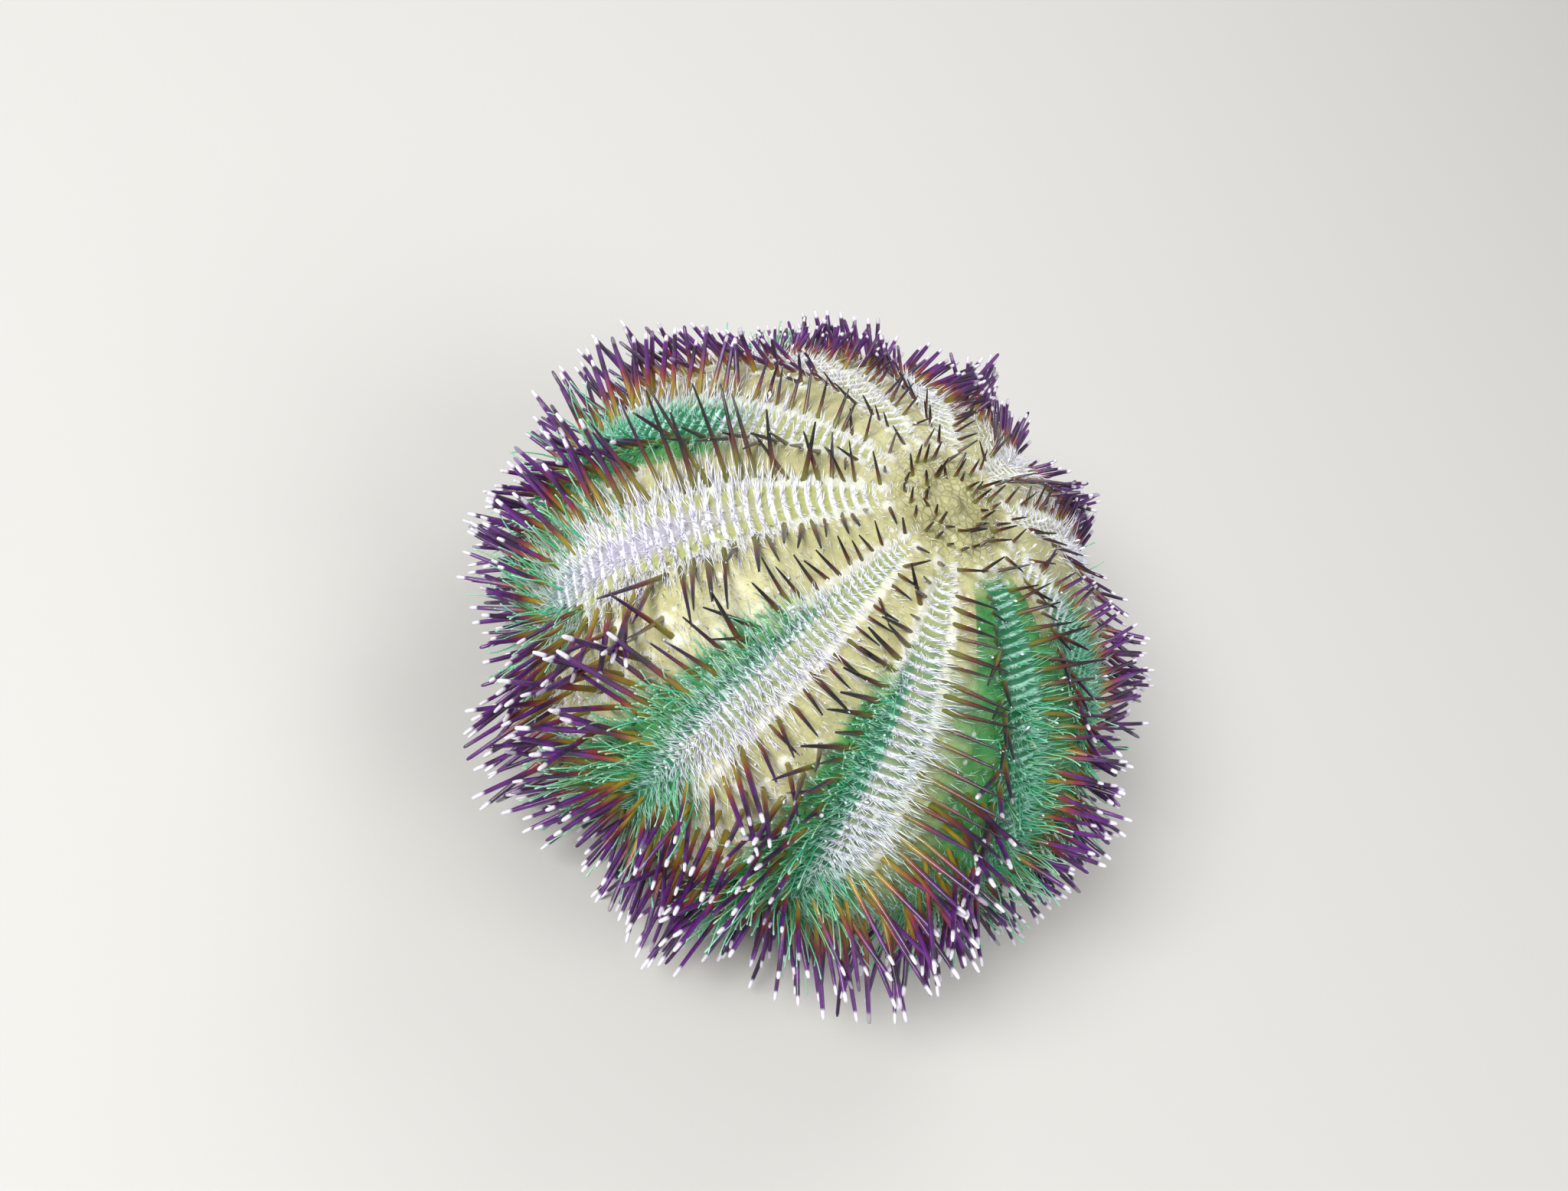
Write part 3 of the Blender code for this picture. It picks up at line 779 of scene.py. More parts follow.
def dress(tree, surface, colour, place, scale, amount, depth, height=None):
    """Feeds the shader a mottled colour, its roughness and a bump, with any height on top."""
    mottled = group_node(tree, "Mottling", {
        "Colour": colour, "Vector": place, "Scale": scale, "Amount": amount,
    })
    tree.links.new(mottled["Colour"], surface.inputs["Base Color"])
    tree.links.new(mottled["Roughness"], surface.inputs["Roughness"])
    total = mottled["Height"] if height is None else maths(tree, "ADD", mottled["Height"], height)
    bump = add_node(tree, "ShaderNodeBump", {"Height": total, "Distance": depth, "Strength": 0.6})
    tree.links.new(bump.outputs["Normal"], surface.inputs["Normal"])


def skin_material(colours):
    """Wet skin: white combs over green-grey furrows in the bands, cream to green between them, with painted
    lilac shade, partly painted greenish shade and painted white glints.
    """
    made, tree, surface, place = new_material("wall_skin", Coat_Weight=0.14, Coat_Roughness=0.2)
    band, comb, green, mound, mouth, low, middle, crown = (painted(tree, name) for name in SKIN_VALUES)
    patchy = grain(tree, place, 260.0)

    # Skin between the bands, its green partly painted greenish shade
    greener = stepped(tree, maths(tree, "MULTIPLY_ADD", patchy, 0.5, green), 0.35, 1.1)
    shade = times(tree, stepped(tree, grain(tree, place, 500.0), 0.45, 0.7), 0.28)
    bare = layered(tree, colours.skin_cream, (greener, colours.skin_green), (shade, colours.furrow))

    # Furrows and crests of the combs, with painted lilac shade and partly painted greenish shade
    greener = stepped(tree, maths(tree, "MULTIPLY_ADD", patchy, 0.4, green), 0.25, 0.9)
    # Painted lilac shadow in the furrows of a band's middle, painted greenish shade where the green mask is
    # high
    furrow = layered(
        tree, colours.furrow, (middle, colours.furrow_lilac), (greener, colours.furrow_green),
    )
    # Painted lilac shade in random patches on the crests, and aqua on green crests, partly painted greenish
    # shade
    lilac = stepped(tree, grain(tree, place, 900.0), 0.4, 0.75)
    aqua = mixed(tree, 0.42, colours.foot_pale, colours.foot_green)
    crest = layered(
        tree, colours.comb_white, (lilac, colours.comb_lilac),
        (times(tree, stepped(tree, green, 0.5, 1.0), 0.8), aqua),
    )
    striped = mixed(tree, stepped(tree, comb, 0.4, 0.9), furrow, crest)

    # White rings round the mounds, painted white glints in specks, brown towards the mouth, and seams of the
    # plates
    ring = times(tree, stepped(tree, mound, 0.15, 0.5), stepped(tree, green, 0.7, 0.1), 0.4)
    # Painted highlights: small white glints of the wet skin, in Voronoi specks
    glint_cells = add_node(tree, "ShaderNodeTexVoronoi", {"Vector": place, "Scale": 620.0, "Randomness": 1.0})
    white = times(tree, stepped(tree, glint_cells.outputs["Distance"], 0.2, 0.1), 0.45)
    cells = add_node(tree, "ShaderNodeTexVoronoi", {"Vector": place, "Scale": 1300.0},
                     feature="DISTANCE_TO_EDGE").outputs["Distance"]
    plated = maths(tree, "MAXIMUM", crown, times(tree, mouth, 0.5))
    seam = times(tree, stepped(tree, cells, 0.16, 0.02), plated)
    shaded = times(tree, stepped(tree, patchy, 0.35, 0.65), crown, 0.5)
    colour = layered(
        tree, bare, (band, striped), (ring, colours.comb_white), (white, colours.comb_white),
        (times(tree, low, 0.25), colours.mouth_brown), (mouth, colours.mouth_brown),
        (shaded, colours.crown_brown), (times(tree, seam, 0.4), colours.crown_brown),
    )
    dress(tree, surface, colour, place, 700.0, 0.4, 0.00012, times(tree, seam, -0.8))
    return made


def spine_material(colours):
    """Glossy spine: olive to black near the crown, ochre, rose, violet and white round the sides."""
    made, tree, surface, place = new_material("spine", Coat_Weight=0.45, Coat_Roughness=0.1)
    along, low, vary, turn = (painted(tree, name) for name in ("along", "low", "vary", "turn"))
    shifted = maths(tree, "ADD", along, maths(tree, "MULTIPLY_ADD", vary, 0.16, -0.08))
    upper = ramp(tree, shifted, (
        (0.0, colours.spine_olive), (0.22, colours.spine_olive), (0.44, colours.spine_maroon),
        (0.66, colours.spine_black), (1.0, colours.spine_black),
    ))
    lower = ramp(tree, shifted, (
        (0.0, colours.spine_ochre), (0.24, colours.spine_ochre), (0.44, colours.spine_rose),
        (0.62, colours.spine_violet), (0.88, colours.spine_violet),
    ))
    dark = stepped(tree, grain(tree, place, 420.0), 0.42, 0.62)
    dark = times(tree, dark, stepped(tree, along, 0.3, 0.6), 0.8)
    olive = times(tree, stepped(tree, vary, 0.5, 0.9), stepped(tree, along, 0.42, 0.2), 0.7)
    lower = layered(tree, lower, (dark, colours.spine_black), (olive, colours.spine_olive))

    # White ends on nearly all spines of the fringe, and a painted highlight as a mere point on two thirds of
    # the others
    blunt = times(tree, stepped(tree, along, 0.89, 0.93), stepped(tree, low, 0.2, 0.7),
                  stepped(tree, vary, 0.02, 0.3))
    point = times(tree, stepped(tree, along, 0.965, 0.985), stepped(tree, vary, 0.35, 0.5))
    white_ends_and_glints = maths(tree, "MAXIMUM", blunt, point)
    colour = layered(tree, upper, (low, lower), (white_ends_and_glints, colours.spine_white))
    ribs = group_node(tree, "Ribbing", {"Turn": turn, "Along": along, "Ribs": 12.0})
    # Painted shade: the grooves between the ribs darkened and the ribs lightened in the colour
    rib_groove_shade = add_node(tree, "ShaderNodeCombineColor", dict.fromkeys(("Red", "Green", "Blue"), ribs["Shade"]))
    colour = mixed(tree, 1.0, colour, rib_groove_shade.outputs["Color"], "MULTIPLY")
    dress(tree, surface, colour, place, 900.0, 0.4, 0.00005, ribs["Height"])
    return made


def hair_material(colours):
    """White hairs, lilac in places as painted shade, and tinged green where the skin is, partly painted
    shade.
    """
    made, tree, surface, place = new_material("pale_hair", Coat_Weight=0.15, Coat_Roughness=0.2)
    vary, green, along = (painted(tree, name) for name in ("vary", "green", "along"))
    white = mixed(tree, stepped(tree, vary, 0.7, 1.1), colours.comb_white, colours.comb_lilac)
    aqua = mixed(tree, times(tree, along, 0.45), colours.foot_green, colours.foot_pale)
    tinge = maths(tree, "MULTIPLY_ADD", stepped(tree, vary, 0.6, 0.85), -0.35, 0.97)
    colour = mixed(tree, times(tree, green, tinge), white, aqua)
    dress(tree, surface, colour, place, 1500.0, 0.15, 0.00002)
    return made


def foot_material(colours):
    """Tube foot: green stem, paler sucker."""
    made, tree, surface, place = new_material("tube_foot", Coat_Weight=0.15, Coat_Roughness=0.2)
    along, vary = painted(tree, "along"), painted(tree, "vary")
    stem = mixed(tree, times(tree, vary, 0.55), colours.foot_green, colours.furrow)
    sucker = times(tree, stepped(tree, along, 0.6, 1.0), 0.55)
    colour = mixed(tree, sucker, stem, colours.foot_pale)
    rings = maths(tree, "MULTIPLY_ADD", maths(tree, "SINE", times(tree, along, 120.0)), 0.5, 0.5)
    dress(tree, surface, colour, place, 1200.0, 0.4, 0.00004, rings)
    return made


def pincer_material(colours):
    """Small pale organs on thin stalks."""
    made, tree, surface, place = new_material("pincer", Coat_Weight=0.3, Coat_Roughness=0.15)
    colour = ramp(tree, painted(tree, "along"), (
        (0.0, colours.skin_cream), (0.6, colours.comb_lilac), (0.78, colours.comb_white),
    ))
    dress(tree, surface, colour, place, 1500.0, 0.2, 0.00002)
    return made


def tooth_material(colours):
    """Ivory tooth with faint growth lines."""
    made, tree, surface, place = new_material("tooth", Coat_Weight=0.4, Coat_Roughness=0.08)
    lines = add_node(tree, "ShaderNodeTexWave", {
        "Vector": place, "Scale": 900.0, "Distortion": 2.0, "Detail": 2.0,
    }, bands_direction="Z").outputs["Fac"]
    colour = mixed(tree, times(tree, lines, 0.3), colours.tooth_ivory, colours.mouth_brown)
    dress(tree, surface, colour, place, 1500.0, 0.2, 0.00003)
    return made


def material(name):
    """Material by name, built the first time from the colour settings."""
    makers = {
        "wall_skin": skin_material, "spine": spine_material, "pale_hair": hair_material,
        "tube_foot": foot_material, "pincer": pincer_material, "tooth": tooth_material,
    }
    found = bpy.data.materials.get(name)
    return found or makers[name](bpy.context.scene.urchin_colours)


def mounds(polar):
    """Height from 0 to 1 of the mounds under the spines, on a grid of rows and columns."""
    mound = np.zeros((len(polar), SKIN_COLUMNS))
    places = spine_places()
    rows = np.interp(places[:, 1], polar, np.arange(len(polar)))
    step = np.hypot(*np.gradient(np.stack(outline(polar)), axis=1)).mean()
    for (around, at, _, share), centre in zip(places, rows):
        reach = math.radians(360 / SKIN_COLUMNS) * float(outline(at)[0])
        wide, column = min(30, math.ceil(MOUND_REACH / reach)), around / 360 * SKIN_COLUMNS
        near_rows = np.arange(max(0, int(centre) - 5), min(len(polar), int(centre) + 7))
        near = np.arange(int(column) - wide, int(column) + wide + 2)
        off = np.hypot((near_rows[:, None] - centre) * step, (near[None] - column) * reach)
        window = np.ix_(near_rows, near % SKIN_COLUMNS)
        mound[window] = np.maximum(mound[window], share * np.exp(-(off / MOUND_RADIUS) ** 2))
    return mound


def skin_fields(polar, sizes):
    """Lift of the skin off the wall and its painted values, on a grid of rows and columns."""
    azimuth = np.arange(SKIN_COLUMNS) * 360 / SKIN_COLUMNS
    radius, _ = outline(polar)
    number, across = band_place(azimuth)
    across = across / band_taper(number, polar[:, None])
    on_wall = (eased(polar, 13, 19) * eased(polar, POLAR_MOUTH + 1, POLAR_MOUTH - 6))[:, None]
    band = eased(np.abs(across), 1.3, 0.85) * on_wall
    bare = eased(np.abs(across), 1.0, 1.7) * on_wall
    row = np.interp(polar, PLATES, np.arange(len(PLATES)))[:, None]
    comb = 0.5 + 0.5 * np.cos(math.tau * (COMBS_PER_PLATE[number] * row + 0.05 * np.abs(across)))
    fade = eased(polar, 80, 98)[:, None]
    mound = mounds(polar)
    lift = sizes.comb_height * (comb - 0.4) * band * (1 - 0.6 * fade) + BARE_LIFT * bare
    lift = lift + sizes.mound_height * mound

    # Vent cone, five plates of the crown and the folds round the lip
    radius = np.where(polar < 90, radius, 1)[:, None]
    lift += VENT_CONE_HEIGHT * eased(radius, 2.4 * VENT_CONE_RADIUS, VENT_CONE_RADIUS)
    places = np.stack([radius * np.cos(np.radians(azimuth)), radius * np.sin(np.radians(azimuth))], -1)
    for i in range(AREA_COUNT):
        turn = math.radians(INTER_FIRST + AREA_STEP * i)
        centre = CROWN_PLATE_PLACE * np.array([math.cos(turn), math.sin(turn)])
        off = np.linalg.norm(places - centre, axis=-1)
        lift += CROWN_PLATE_HEIGHT * eased(off, CROWN_PLATE_RADIUS * 1.25, CROWN_PLATE_RADIUS * 0.8)
    mouth = eased(polar, POLAR_MOUTH - 1, POLAR_MOUTH + 0.5)
    folds = np.cos(np.radians(azimuth - AMB_FIRST) * 4 * AREA_COUNT)
    lift += FOLD_HEIGHT * (mouth * eased(polar, POLAR_MOUTH, 172))[:, None] * folds

    green = green_and_shade_share(azimuth[None], polar[:, None])
    # Bands 1 to 3 get more painted greenish shade on their white part, fading out towards the mouth
    green = green + 0.3 * band * np.isin(number, GREEN_SHADE_EDGE_BANDS) * eased(polar, 140, 108)[:, None]
    # Mask of the painted lilac shadow in the furrows, strongest in band 0
    middle = eased(np.abs(across), 0.65, 0.15) * (eased(polar, 30, 60) * eased(polar, 116, 96))[:, None]
    rings = {"mouth": mouth, "low": eased(polar, 96, 135), "crown": eased(polar, 14, 9)}
    return {
        "lift": lift, "band": band, "mound": mound, "green": np.clip(green, 0, 1),
        "comb": comb * (1 - 0.5 * np.abs(np.clip(across, -1, 1)) ** 4) * (1 - 0.8 * fade),
        "middle": middle * np.where(number == 0, 0.75, 0.2),
        **{name: np.repeat(value[:, None], SKIN_COLUMNS, 1) for name, value in rings.items()},
    }


def turned_skin(profile):
    """The profile spun round the axis into a closed mesh, with each point's row on it. Points and faces
    are put in order, because a spin may leave them in another order each time."""
    bm = bmesh.new()
    layer = bm.verts.layers.int.new("row")
    verts = []
    for index, (radius, height) in enumerate(profile):
        verts.append(bm.verts.new((0, -radius, height)))
        verts[-1][layer] = index
    for first, last in zip(verts, verts[1:]):
        bm.edges.new((first, last))
    bmesh.ops.spin(
        bm, geom=bm.verts[:] + bm.edges[:], cent=(0, 0, 0), axis=(0, 0, 1), dvec=(0, 0, 0),
        angle=math.tau, steps=SKIN_COLUMNS, use_merge=True,
    )
    bmesh.ops.remove_doubles(bm, verts=bm.verts, dist=1e-7)
    bmesh.ops.recalc_face_normals(bm, faces=bm.faces)

    def place(row, point):
        """Number that grows from row to row and round each row, from a little before azimuth 0."""
        return math.tau * row + (math.atan2(point.x, -point.y) + 0.001) % math.tau

    bm.verts.sort(key=lambda vert: place(vert[layer], vert.co))
    bm.faces.sort(key=lambda face: place(min(vert[layer] for vert in face.verts), face.calc_center_median()))
    return mesh_of("body_skin", bm)


class URCHIN_OT_skin(bpy.types.Operator):
    """Build the skin over wall, crown and mouth as one closed surface"""

    bl_idname = "urchin.skin"
    bl_label = "Skin"

    def execute(self, context):
        radius, height, polar = skin_profile()
        fields = skin_fields(polar, context.scene.urchin_sizes)
        mesh = turned_skin(zip(radius, height))
        points = read(mesh.vertices, "co", 3, np.float32).reshape(-1, 3).astype(float)
        rows = read(mesh.attributes["row"].data, "value")
        azimuth = np.degrees(np.arctan2(points[:, 0], -points[:, 1])) % 360
        columns = np.round(azimuth * SKIN_COLUMNS / 360).astype(int) % SKIN_COLUMNS
        at_pole = (rows == 0) | (rows == SKIN_ROWS - 1)

        along = unit(np.stack([np.gradient(radius), np.gradient(height)], -1))
        outward, upward = -along[rows, 1], along[rows, 0]
        outward[at_pole] = 0
        upward[at_pole] = 1
        rough = np.array([noise.fractal(Vector(point) * ROUGH_SCALE, 1.0, 2.0, 3) for point in points])
        rough = ROUGH_HEIGHT * rough * (1 - fields["mouth"][rows, columns] * 0.5)
        lift = fields["lift"][rows, columns] + rough
        lift[rows == SKIN_ROWS - 1] = 0
        away = np.stack([np.sin(np.radians(azimuth)), -np.cos(np.radians(azimuth))], -1)
        points[:, :2] += away * (outward * lift)[:, None]
        points[:, 2] += upward * lift
        points += AXIS
        mesh.vertices.foreach_set("co", points.astype(np.float32).ravel())
        for name in SKIN_VALUES:
            paint(mesh, name, fields[name][rows, columns])
        self.unwrap(mesh, rows, columns, at_pole, polar)
        mesh.attributes.remove(mesh.attributes["row"])
        mesh.shade_smooth()
        mesh.update()
        finished("body_skin", mesh, material("wall_skin"), FLESH)
        return {"FINISHED"}

    def unwrap(self, mesh, rows, columns, at_pole, polar):
        """The OFBake map: azimuth across and polar angle down, cut open at azimuth 0."""
        corners = read(mesh.loops, "vertex_index")
        totals = read(mesh.polygons, "loop_total")
        face = np.repeat(np.arange(len(totals)), totals)
        around = (columns / SKIN_COLUMNS)[corners]
        pole = at_pole[corners]
        high = np.zeros(len(totals))
        np.maximum.at(high, face[~pole], around[~pole])
        around = np.where((high[face] - around > 0.5) & ~pole, around + 1, around)
        middle = np.bincount(face[~pole], around[~pole]) / np.bincount(face[~pole])
        around = np.where(pole, middle[face], around)
        unwrapped(mesh, np.stack([around, 1 - (polar / 180)[rows][corners]], -1))


def leaning(azimuth, polar, side_lean, outward_lean):
    """Roots on the wall and directions that lean sideways and away from the nearer pole, in degrees."""
    foot, normal, down, side = wall_frame(azimuth, polar)
    away = np.where((polar < 90)[:, None], down, -down)
    direction = normal + side * np.tan(np.radians(side_lean))[:, None]
    return foot, unit(direction + away * np.tan(np.radians(outward_lean))[:, None])


class URCHIN_OT_spines(bpy.types.Operator):
    """Build the large spines in rows beside the bands, dense and blunt round the sides"""

    bl_idname = "urchin.spines"
    bl_label = "Spines"

    def growth(self, azimuth, polar, far):
        """Shares of the lengths: longer near the crown on the near side, and by place in the fringe."""
        near_crown = eased(polar, 6, 16) * eased(polar, 92, 60)
        behind = eased(np.abs(azimuth - 188), 50, 44)
        fringe = eased(polar, 44, 58) * (1 - behind * eased(polar, 72, 88))
        upper_row = eased(np.abs(azimuth + 53), 8, 5) * eased(polar, 24, 40) * eased(polar, 88, 70)
        around = 1 + (between(FRINGE_SHARES, azimuth % 360) - 1) * fringe
        return (1 + (0.45 - 0.52 * far) * near_crown) * around * (1 + 0.3 * upper_row)

    def execute(self, context):
        sizes = context.scene.urchin_sizes
        draw = np.random.default_rng(7)
        azimuth, polar, lean, share = spine_places().T
        count = len(azimuth)
        stray = np.where(draw.random(count) < 0.08 + 0.35 * eased(polar, 36, 20), 24, 6.5)
        azimuth = azimuth + draw.normal(0, 0.35, count)
        polar = polar + draw.normal(0, 0.35, count)
        narrow = np.abs((azimuth - AMB_FIRST + AREA_STEP / 2) % AREA_STEP - AREA_STEP / 2) < AMB_HALF
        ease = 1 - 0.24 * narrow * eased(polar, 40, 60) * eased(polar, 100, 84)
        side_lean = lean * between(SIDE_LEANS, polar) * ease + draw.normal(0, 1, count) * stray
        outward = between(OUTWARD_LEANS, polar) + draw.normal(0, 1, count) * stray
        foot, direction = leaning(
            azimuth, polar, np.clip(side_lean, -MOST_SIDE_LEAN, MOST_SIDE_LEAN),
            np.clip(outward, -MOST_OUTWARD_LEAN, MOST_OUTWARD_LEAN),
        )
        length = between(SPINE_LENGTHS, polar) * share * draw.uniform(0.84, 1.1, count) * sizes.spine_share
        far = eased(np.cos(np.radians(azimuth - 190)), -0.35, 0.3)
        length = length * self.growth(azimuth, polar, far) * ease

        # A spine that points down stops above the floor
        sinking = np.minimum(direction[:, 2], -0.05)
        drop = np.where(direction[:, 2] < -0.05, (foot[:, 2] - 0.0002) / -sinking, 1)
        length = np.minimum(length, np.maximum(drop, 0.002))
        thick = sizes.spine_radius * np.minimum(1.05, 0.5 + 0.5 * length / 0.006)
        thick = thick * (1 - 0.06 * eased(polar, 62, 88)) * draw.uniform(0.82, 1.12, count)
        low = eased(polar + 26 * far + 12 * eased(np.abs(azimuth - 88), 48, 30), 44, 80)
        bend = np.cross(direction, random_ways(draw, count)) * (0.05 * length)[:, None]
        pointed = template(7, (
            (0, 0.9), (0.1, 1.1), (0.16, 0.86), (0.45, 0.76), (0.75, 0.54), (0.96, 0.3), (1, 0.1),
        ))
        blunt = template(7, (
            (0, 0.9), (0.1, 1.12), (0.16, 0.9), (0.45, 0.88), (0.78, 0.78), (0.97, 0.66), (1, 0.4),
        ))
        groups = (
            ("upper_spines", low < 0.5, pointed),
            ("side_spines", (low >= 0.5) & (polar < 112), blunt),
            ("under_spines", polar >= 112, blunt),
        )
        for name, picked, shape in groups:
            roots = foot[picked] - direction[picked] * ROOT_DEPTH
            part = planted(shape, roots, direction[picked], length[picked] + ROOT_DEPTH, thick[picked],
                           bends=bend[picked], low=low[picked], vary=draw.random(picked.sum()))
            joined(name, [part], material("spine"), AREAS)
        self.crown_spines(draw, pointed)
        return {"FINISHED"}

    def crown_spines(self, draw, shape):
        """Short spines on the crown's ring."""
        count = CROWN_SPINE_COUNT
        azimuth = AMB_FIRST + 360 / count * np.arange(count) + draw.normal(0, 2, count)
        place = np.resize(CROWN_SPINE_PLACES, count) + draw.normal(0, 0.00015, count)
        polar = np.degrees(np.arcsin(place / WALL_RADIUS))
        foot, direction = leaning(azimuth, polar, draw.normal(0, 16, count), draw.normal(20, 12, count))
        length = draw.uniform(*CROWN_SPINE_LENGTHS, count)
        part = planted(shape, foot - direction * 0.0003, direction, length, CROWN_SPINE_RADIUS,
                       low=np.zeros(count), vary=draw.random(count))
        joined("crown_spines", [part], material("spine"), ["apical_ring"])


def side_direction(azimuth, polar, tilt, sideways, draw):
    """Roots and directions of things that lie over sideways, with a little scatter up and down."""
    foot, normal, down, side = wall_frame(azimuth, polar)
    turn = np.radians(tilt)[:, None]
    scatter = down * draw.normal(0, 0.16, len(azimuth))[:, None]
    return foot, unit(normal * np.cos(turn) + side * sideways[:, None] * np.sin(turn) + scatter), normal


class URCHIN_OT_hairs(bpy.types.Operator):
    """Build the fine white hairs on the combs, beside the spines and on the bare skin"""

    bl_idname = "urchin.hairs"
    bl_label = "Hairs"

    def execute(self, context):
        sizes = context.scene.urchin_sizes
        draw = np.random.default_rng(11)
        self.comb_hairs(draw, sizes)
        self.edge_hairs(draw, sizes)
        self.skin_hairs(draw, sizes)
        return {"FINISHED"}

    def comb_hairs(self, draw, sizes):
        """Hairs along each comb that part to both sides, fewer at the fringe."""
        numbers = np.arange(len(PLATES))
        found = []
        for number, border, half in BANDS:
            combs = COMBS_PER_PLATE[number]
            for row in range(int(combs * (len(PLATES) - 1)) + 1):
                at = np.interp(row / combs, numbers, PLATES)
                half_here = half * float(band_taper(number, at))
                wide = 2 * math.radians(half_here) * float(outline(at)[0]) * 1000
                count = max(2, int(wide * sizes.hairs_per_mm * COMB_HAIR_SHARES[number]))
                spot = draw.uniform(-1.15, 1.15, count)
                plate = (row + draw.normal(0, 0.12, count) - 0.05 * np.abs(spot)) / combs
                found.append((border + spot * half_here, np.interp(plate, numbers, PLATES), spot))
        azimuth, polar, across = gathered(found)
        kept = draw.random(len(polar)) > 0.7 * eased(polar, 80, 98)
        azimuth, polar, across = azimuth[kept], polar[kept], across[kept]
        sideways = np.sign(across + draw.normal(0, 0.3, len(across)))
        tilt = draw.uniform(12, 40, len(across)) + 34 * eased(np.abs(across), 0.3, 0.9)
        self.plant("comb_hairs", draw, azimuth, polar, tilt, sideways, sizes.hair_length, (0.6, 1.15),
                   0.45 + 0.55 * eased(polar, 12, 50), sizes.hair_radius)

    def edge_hairs(self, draw, sizes):
        """Longer hairs on both sides of each band, thinning out over the bare skin."""
        found = []
        for number, border, half in BANDS:
            for side in (-1, 1):
                for low, high in zip(PLATES, PLATES[1:]):
                    count = EDGE_HAIR_COUNTS[number] if low > 30 else CROWN_HAIR_COUNT
                    edge = half * float(band_taper(number, (low + high) / 2))
                    away = 0.7 * edge + half * draw.exponential(0.36, count)
                    polar = draw.uniform(low, high, count)
                    found.append((border + side * away, polar, np.full(count, float(side))))
        azimuth, polar, sideways = gathered(found)
        tilt = draw.uniform(18, 66, len(azimuth))
        self.plant("edge_hairs", draw, azimuth, polar, tilt, sideways, sizes.edge_hair_length,
                   (0.4, 1.15), eased(polar, 0, 50), sizes.hair_radius * 1.1)

    def skin_hairs(self, draw, sizes):
        """Short hairs on the skin between the bands, and round the crown."""
        azimuth = draw.uniform(0, 360, SKIN_HAIR_DRAWS)
        polar = np.degrees(np.arccos(draw.uniform(-0.965, 0.996, SKIN_HAIR_DRAWS)))
        across = band_place(azimuth)[1]
        dense = 0.3 + 0.7 * eased(polar, 40, 80) + 0.5 * eased(polar, 24, 14)
        kept = ((np.abs(across) > 1.05) | (polar < 18)) & (draw.random(SKIN_HAIR_DRAWS) < dense)
        kept &= polar > 5
        azimuth, polar, across = azimuth[kept], polar[kept], across[kept]
        tilt = draw.uniform(5, 62, len(azimuth))
        self.plant("skin_hairs", draw, azimuth, polar, tilt, np.sign(across), SKIN_HAIR_LENGTH,
                   (0.4, 1.2), 0.45 + 0.55 * eased(polar, 10, 30), sizes.hair_radius * 0.9)

    def plant(self, name, draw, azimuth, polar, tilt, sideways, full, spread, growth, radius):
        """Hairs of a full length times a random spread and their growth, in pieces of limited size."""
        foot, direction, normal = side_direction(azimuth, polar, tilt, sideways, draw)
        length = full * draw.uniform(*spread, len(azimuth)) * growth
        shape = template(3, ((0, 1), (0.5, 0.8), (1, 0)))
        order = np.argsort(azimuth % 360)
        pieces = np.array_split(order, math.ceil(len(order) / HAIRS_PER_PIECE))
        for number, picked in enumerate(pieces, 1):
            bend = normal[picked] * (-0.18 * length[picked])[:, None]
            root = foot[picked] - direction[picked] * HAIR_ROOT_DEPTH
            thick = radius * draw.uniform(0.8, 1.25, len(picked))
            part = planted(shape, root, direction[picked], length[picked], thick, bends=bend,
                           vary=draw.random(len(picked)), green=green_and_shade_share(azimuth[picked], polar[picked]))
            joined(f"{name}_{number}", [part], material("pale_hair"), AREAS)


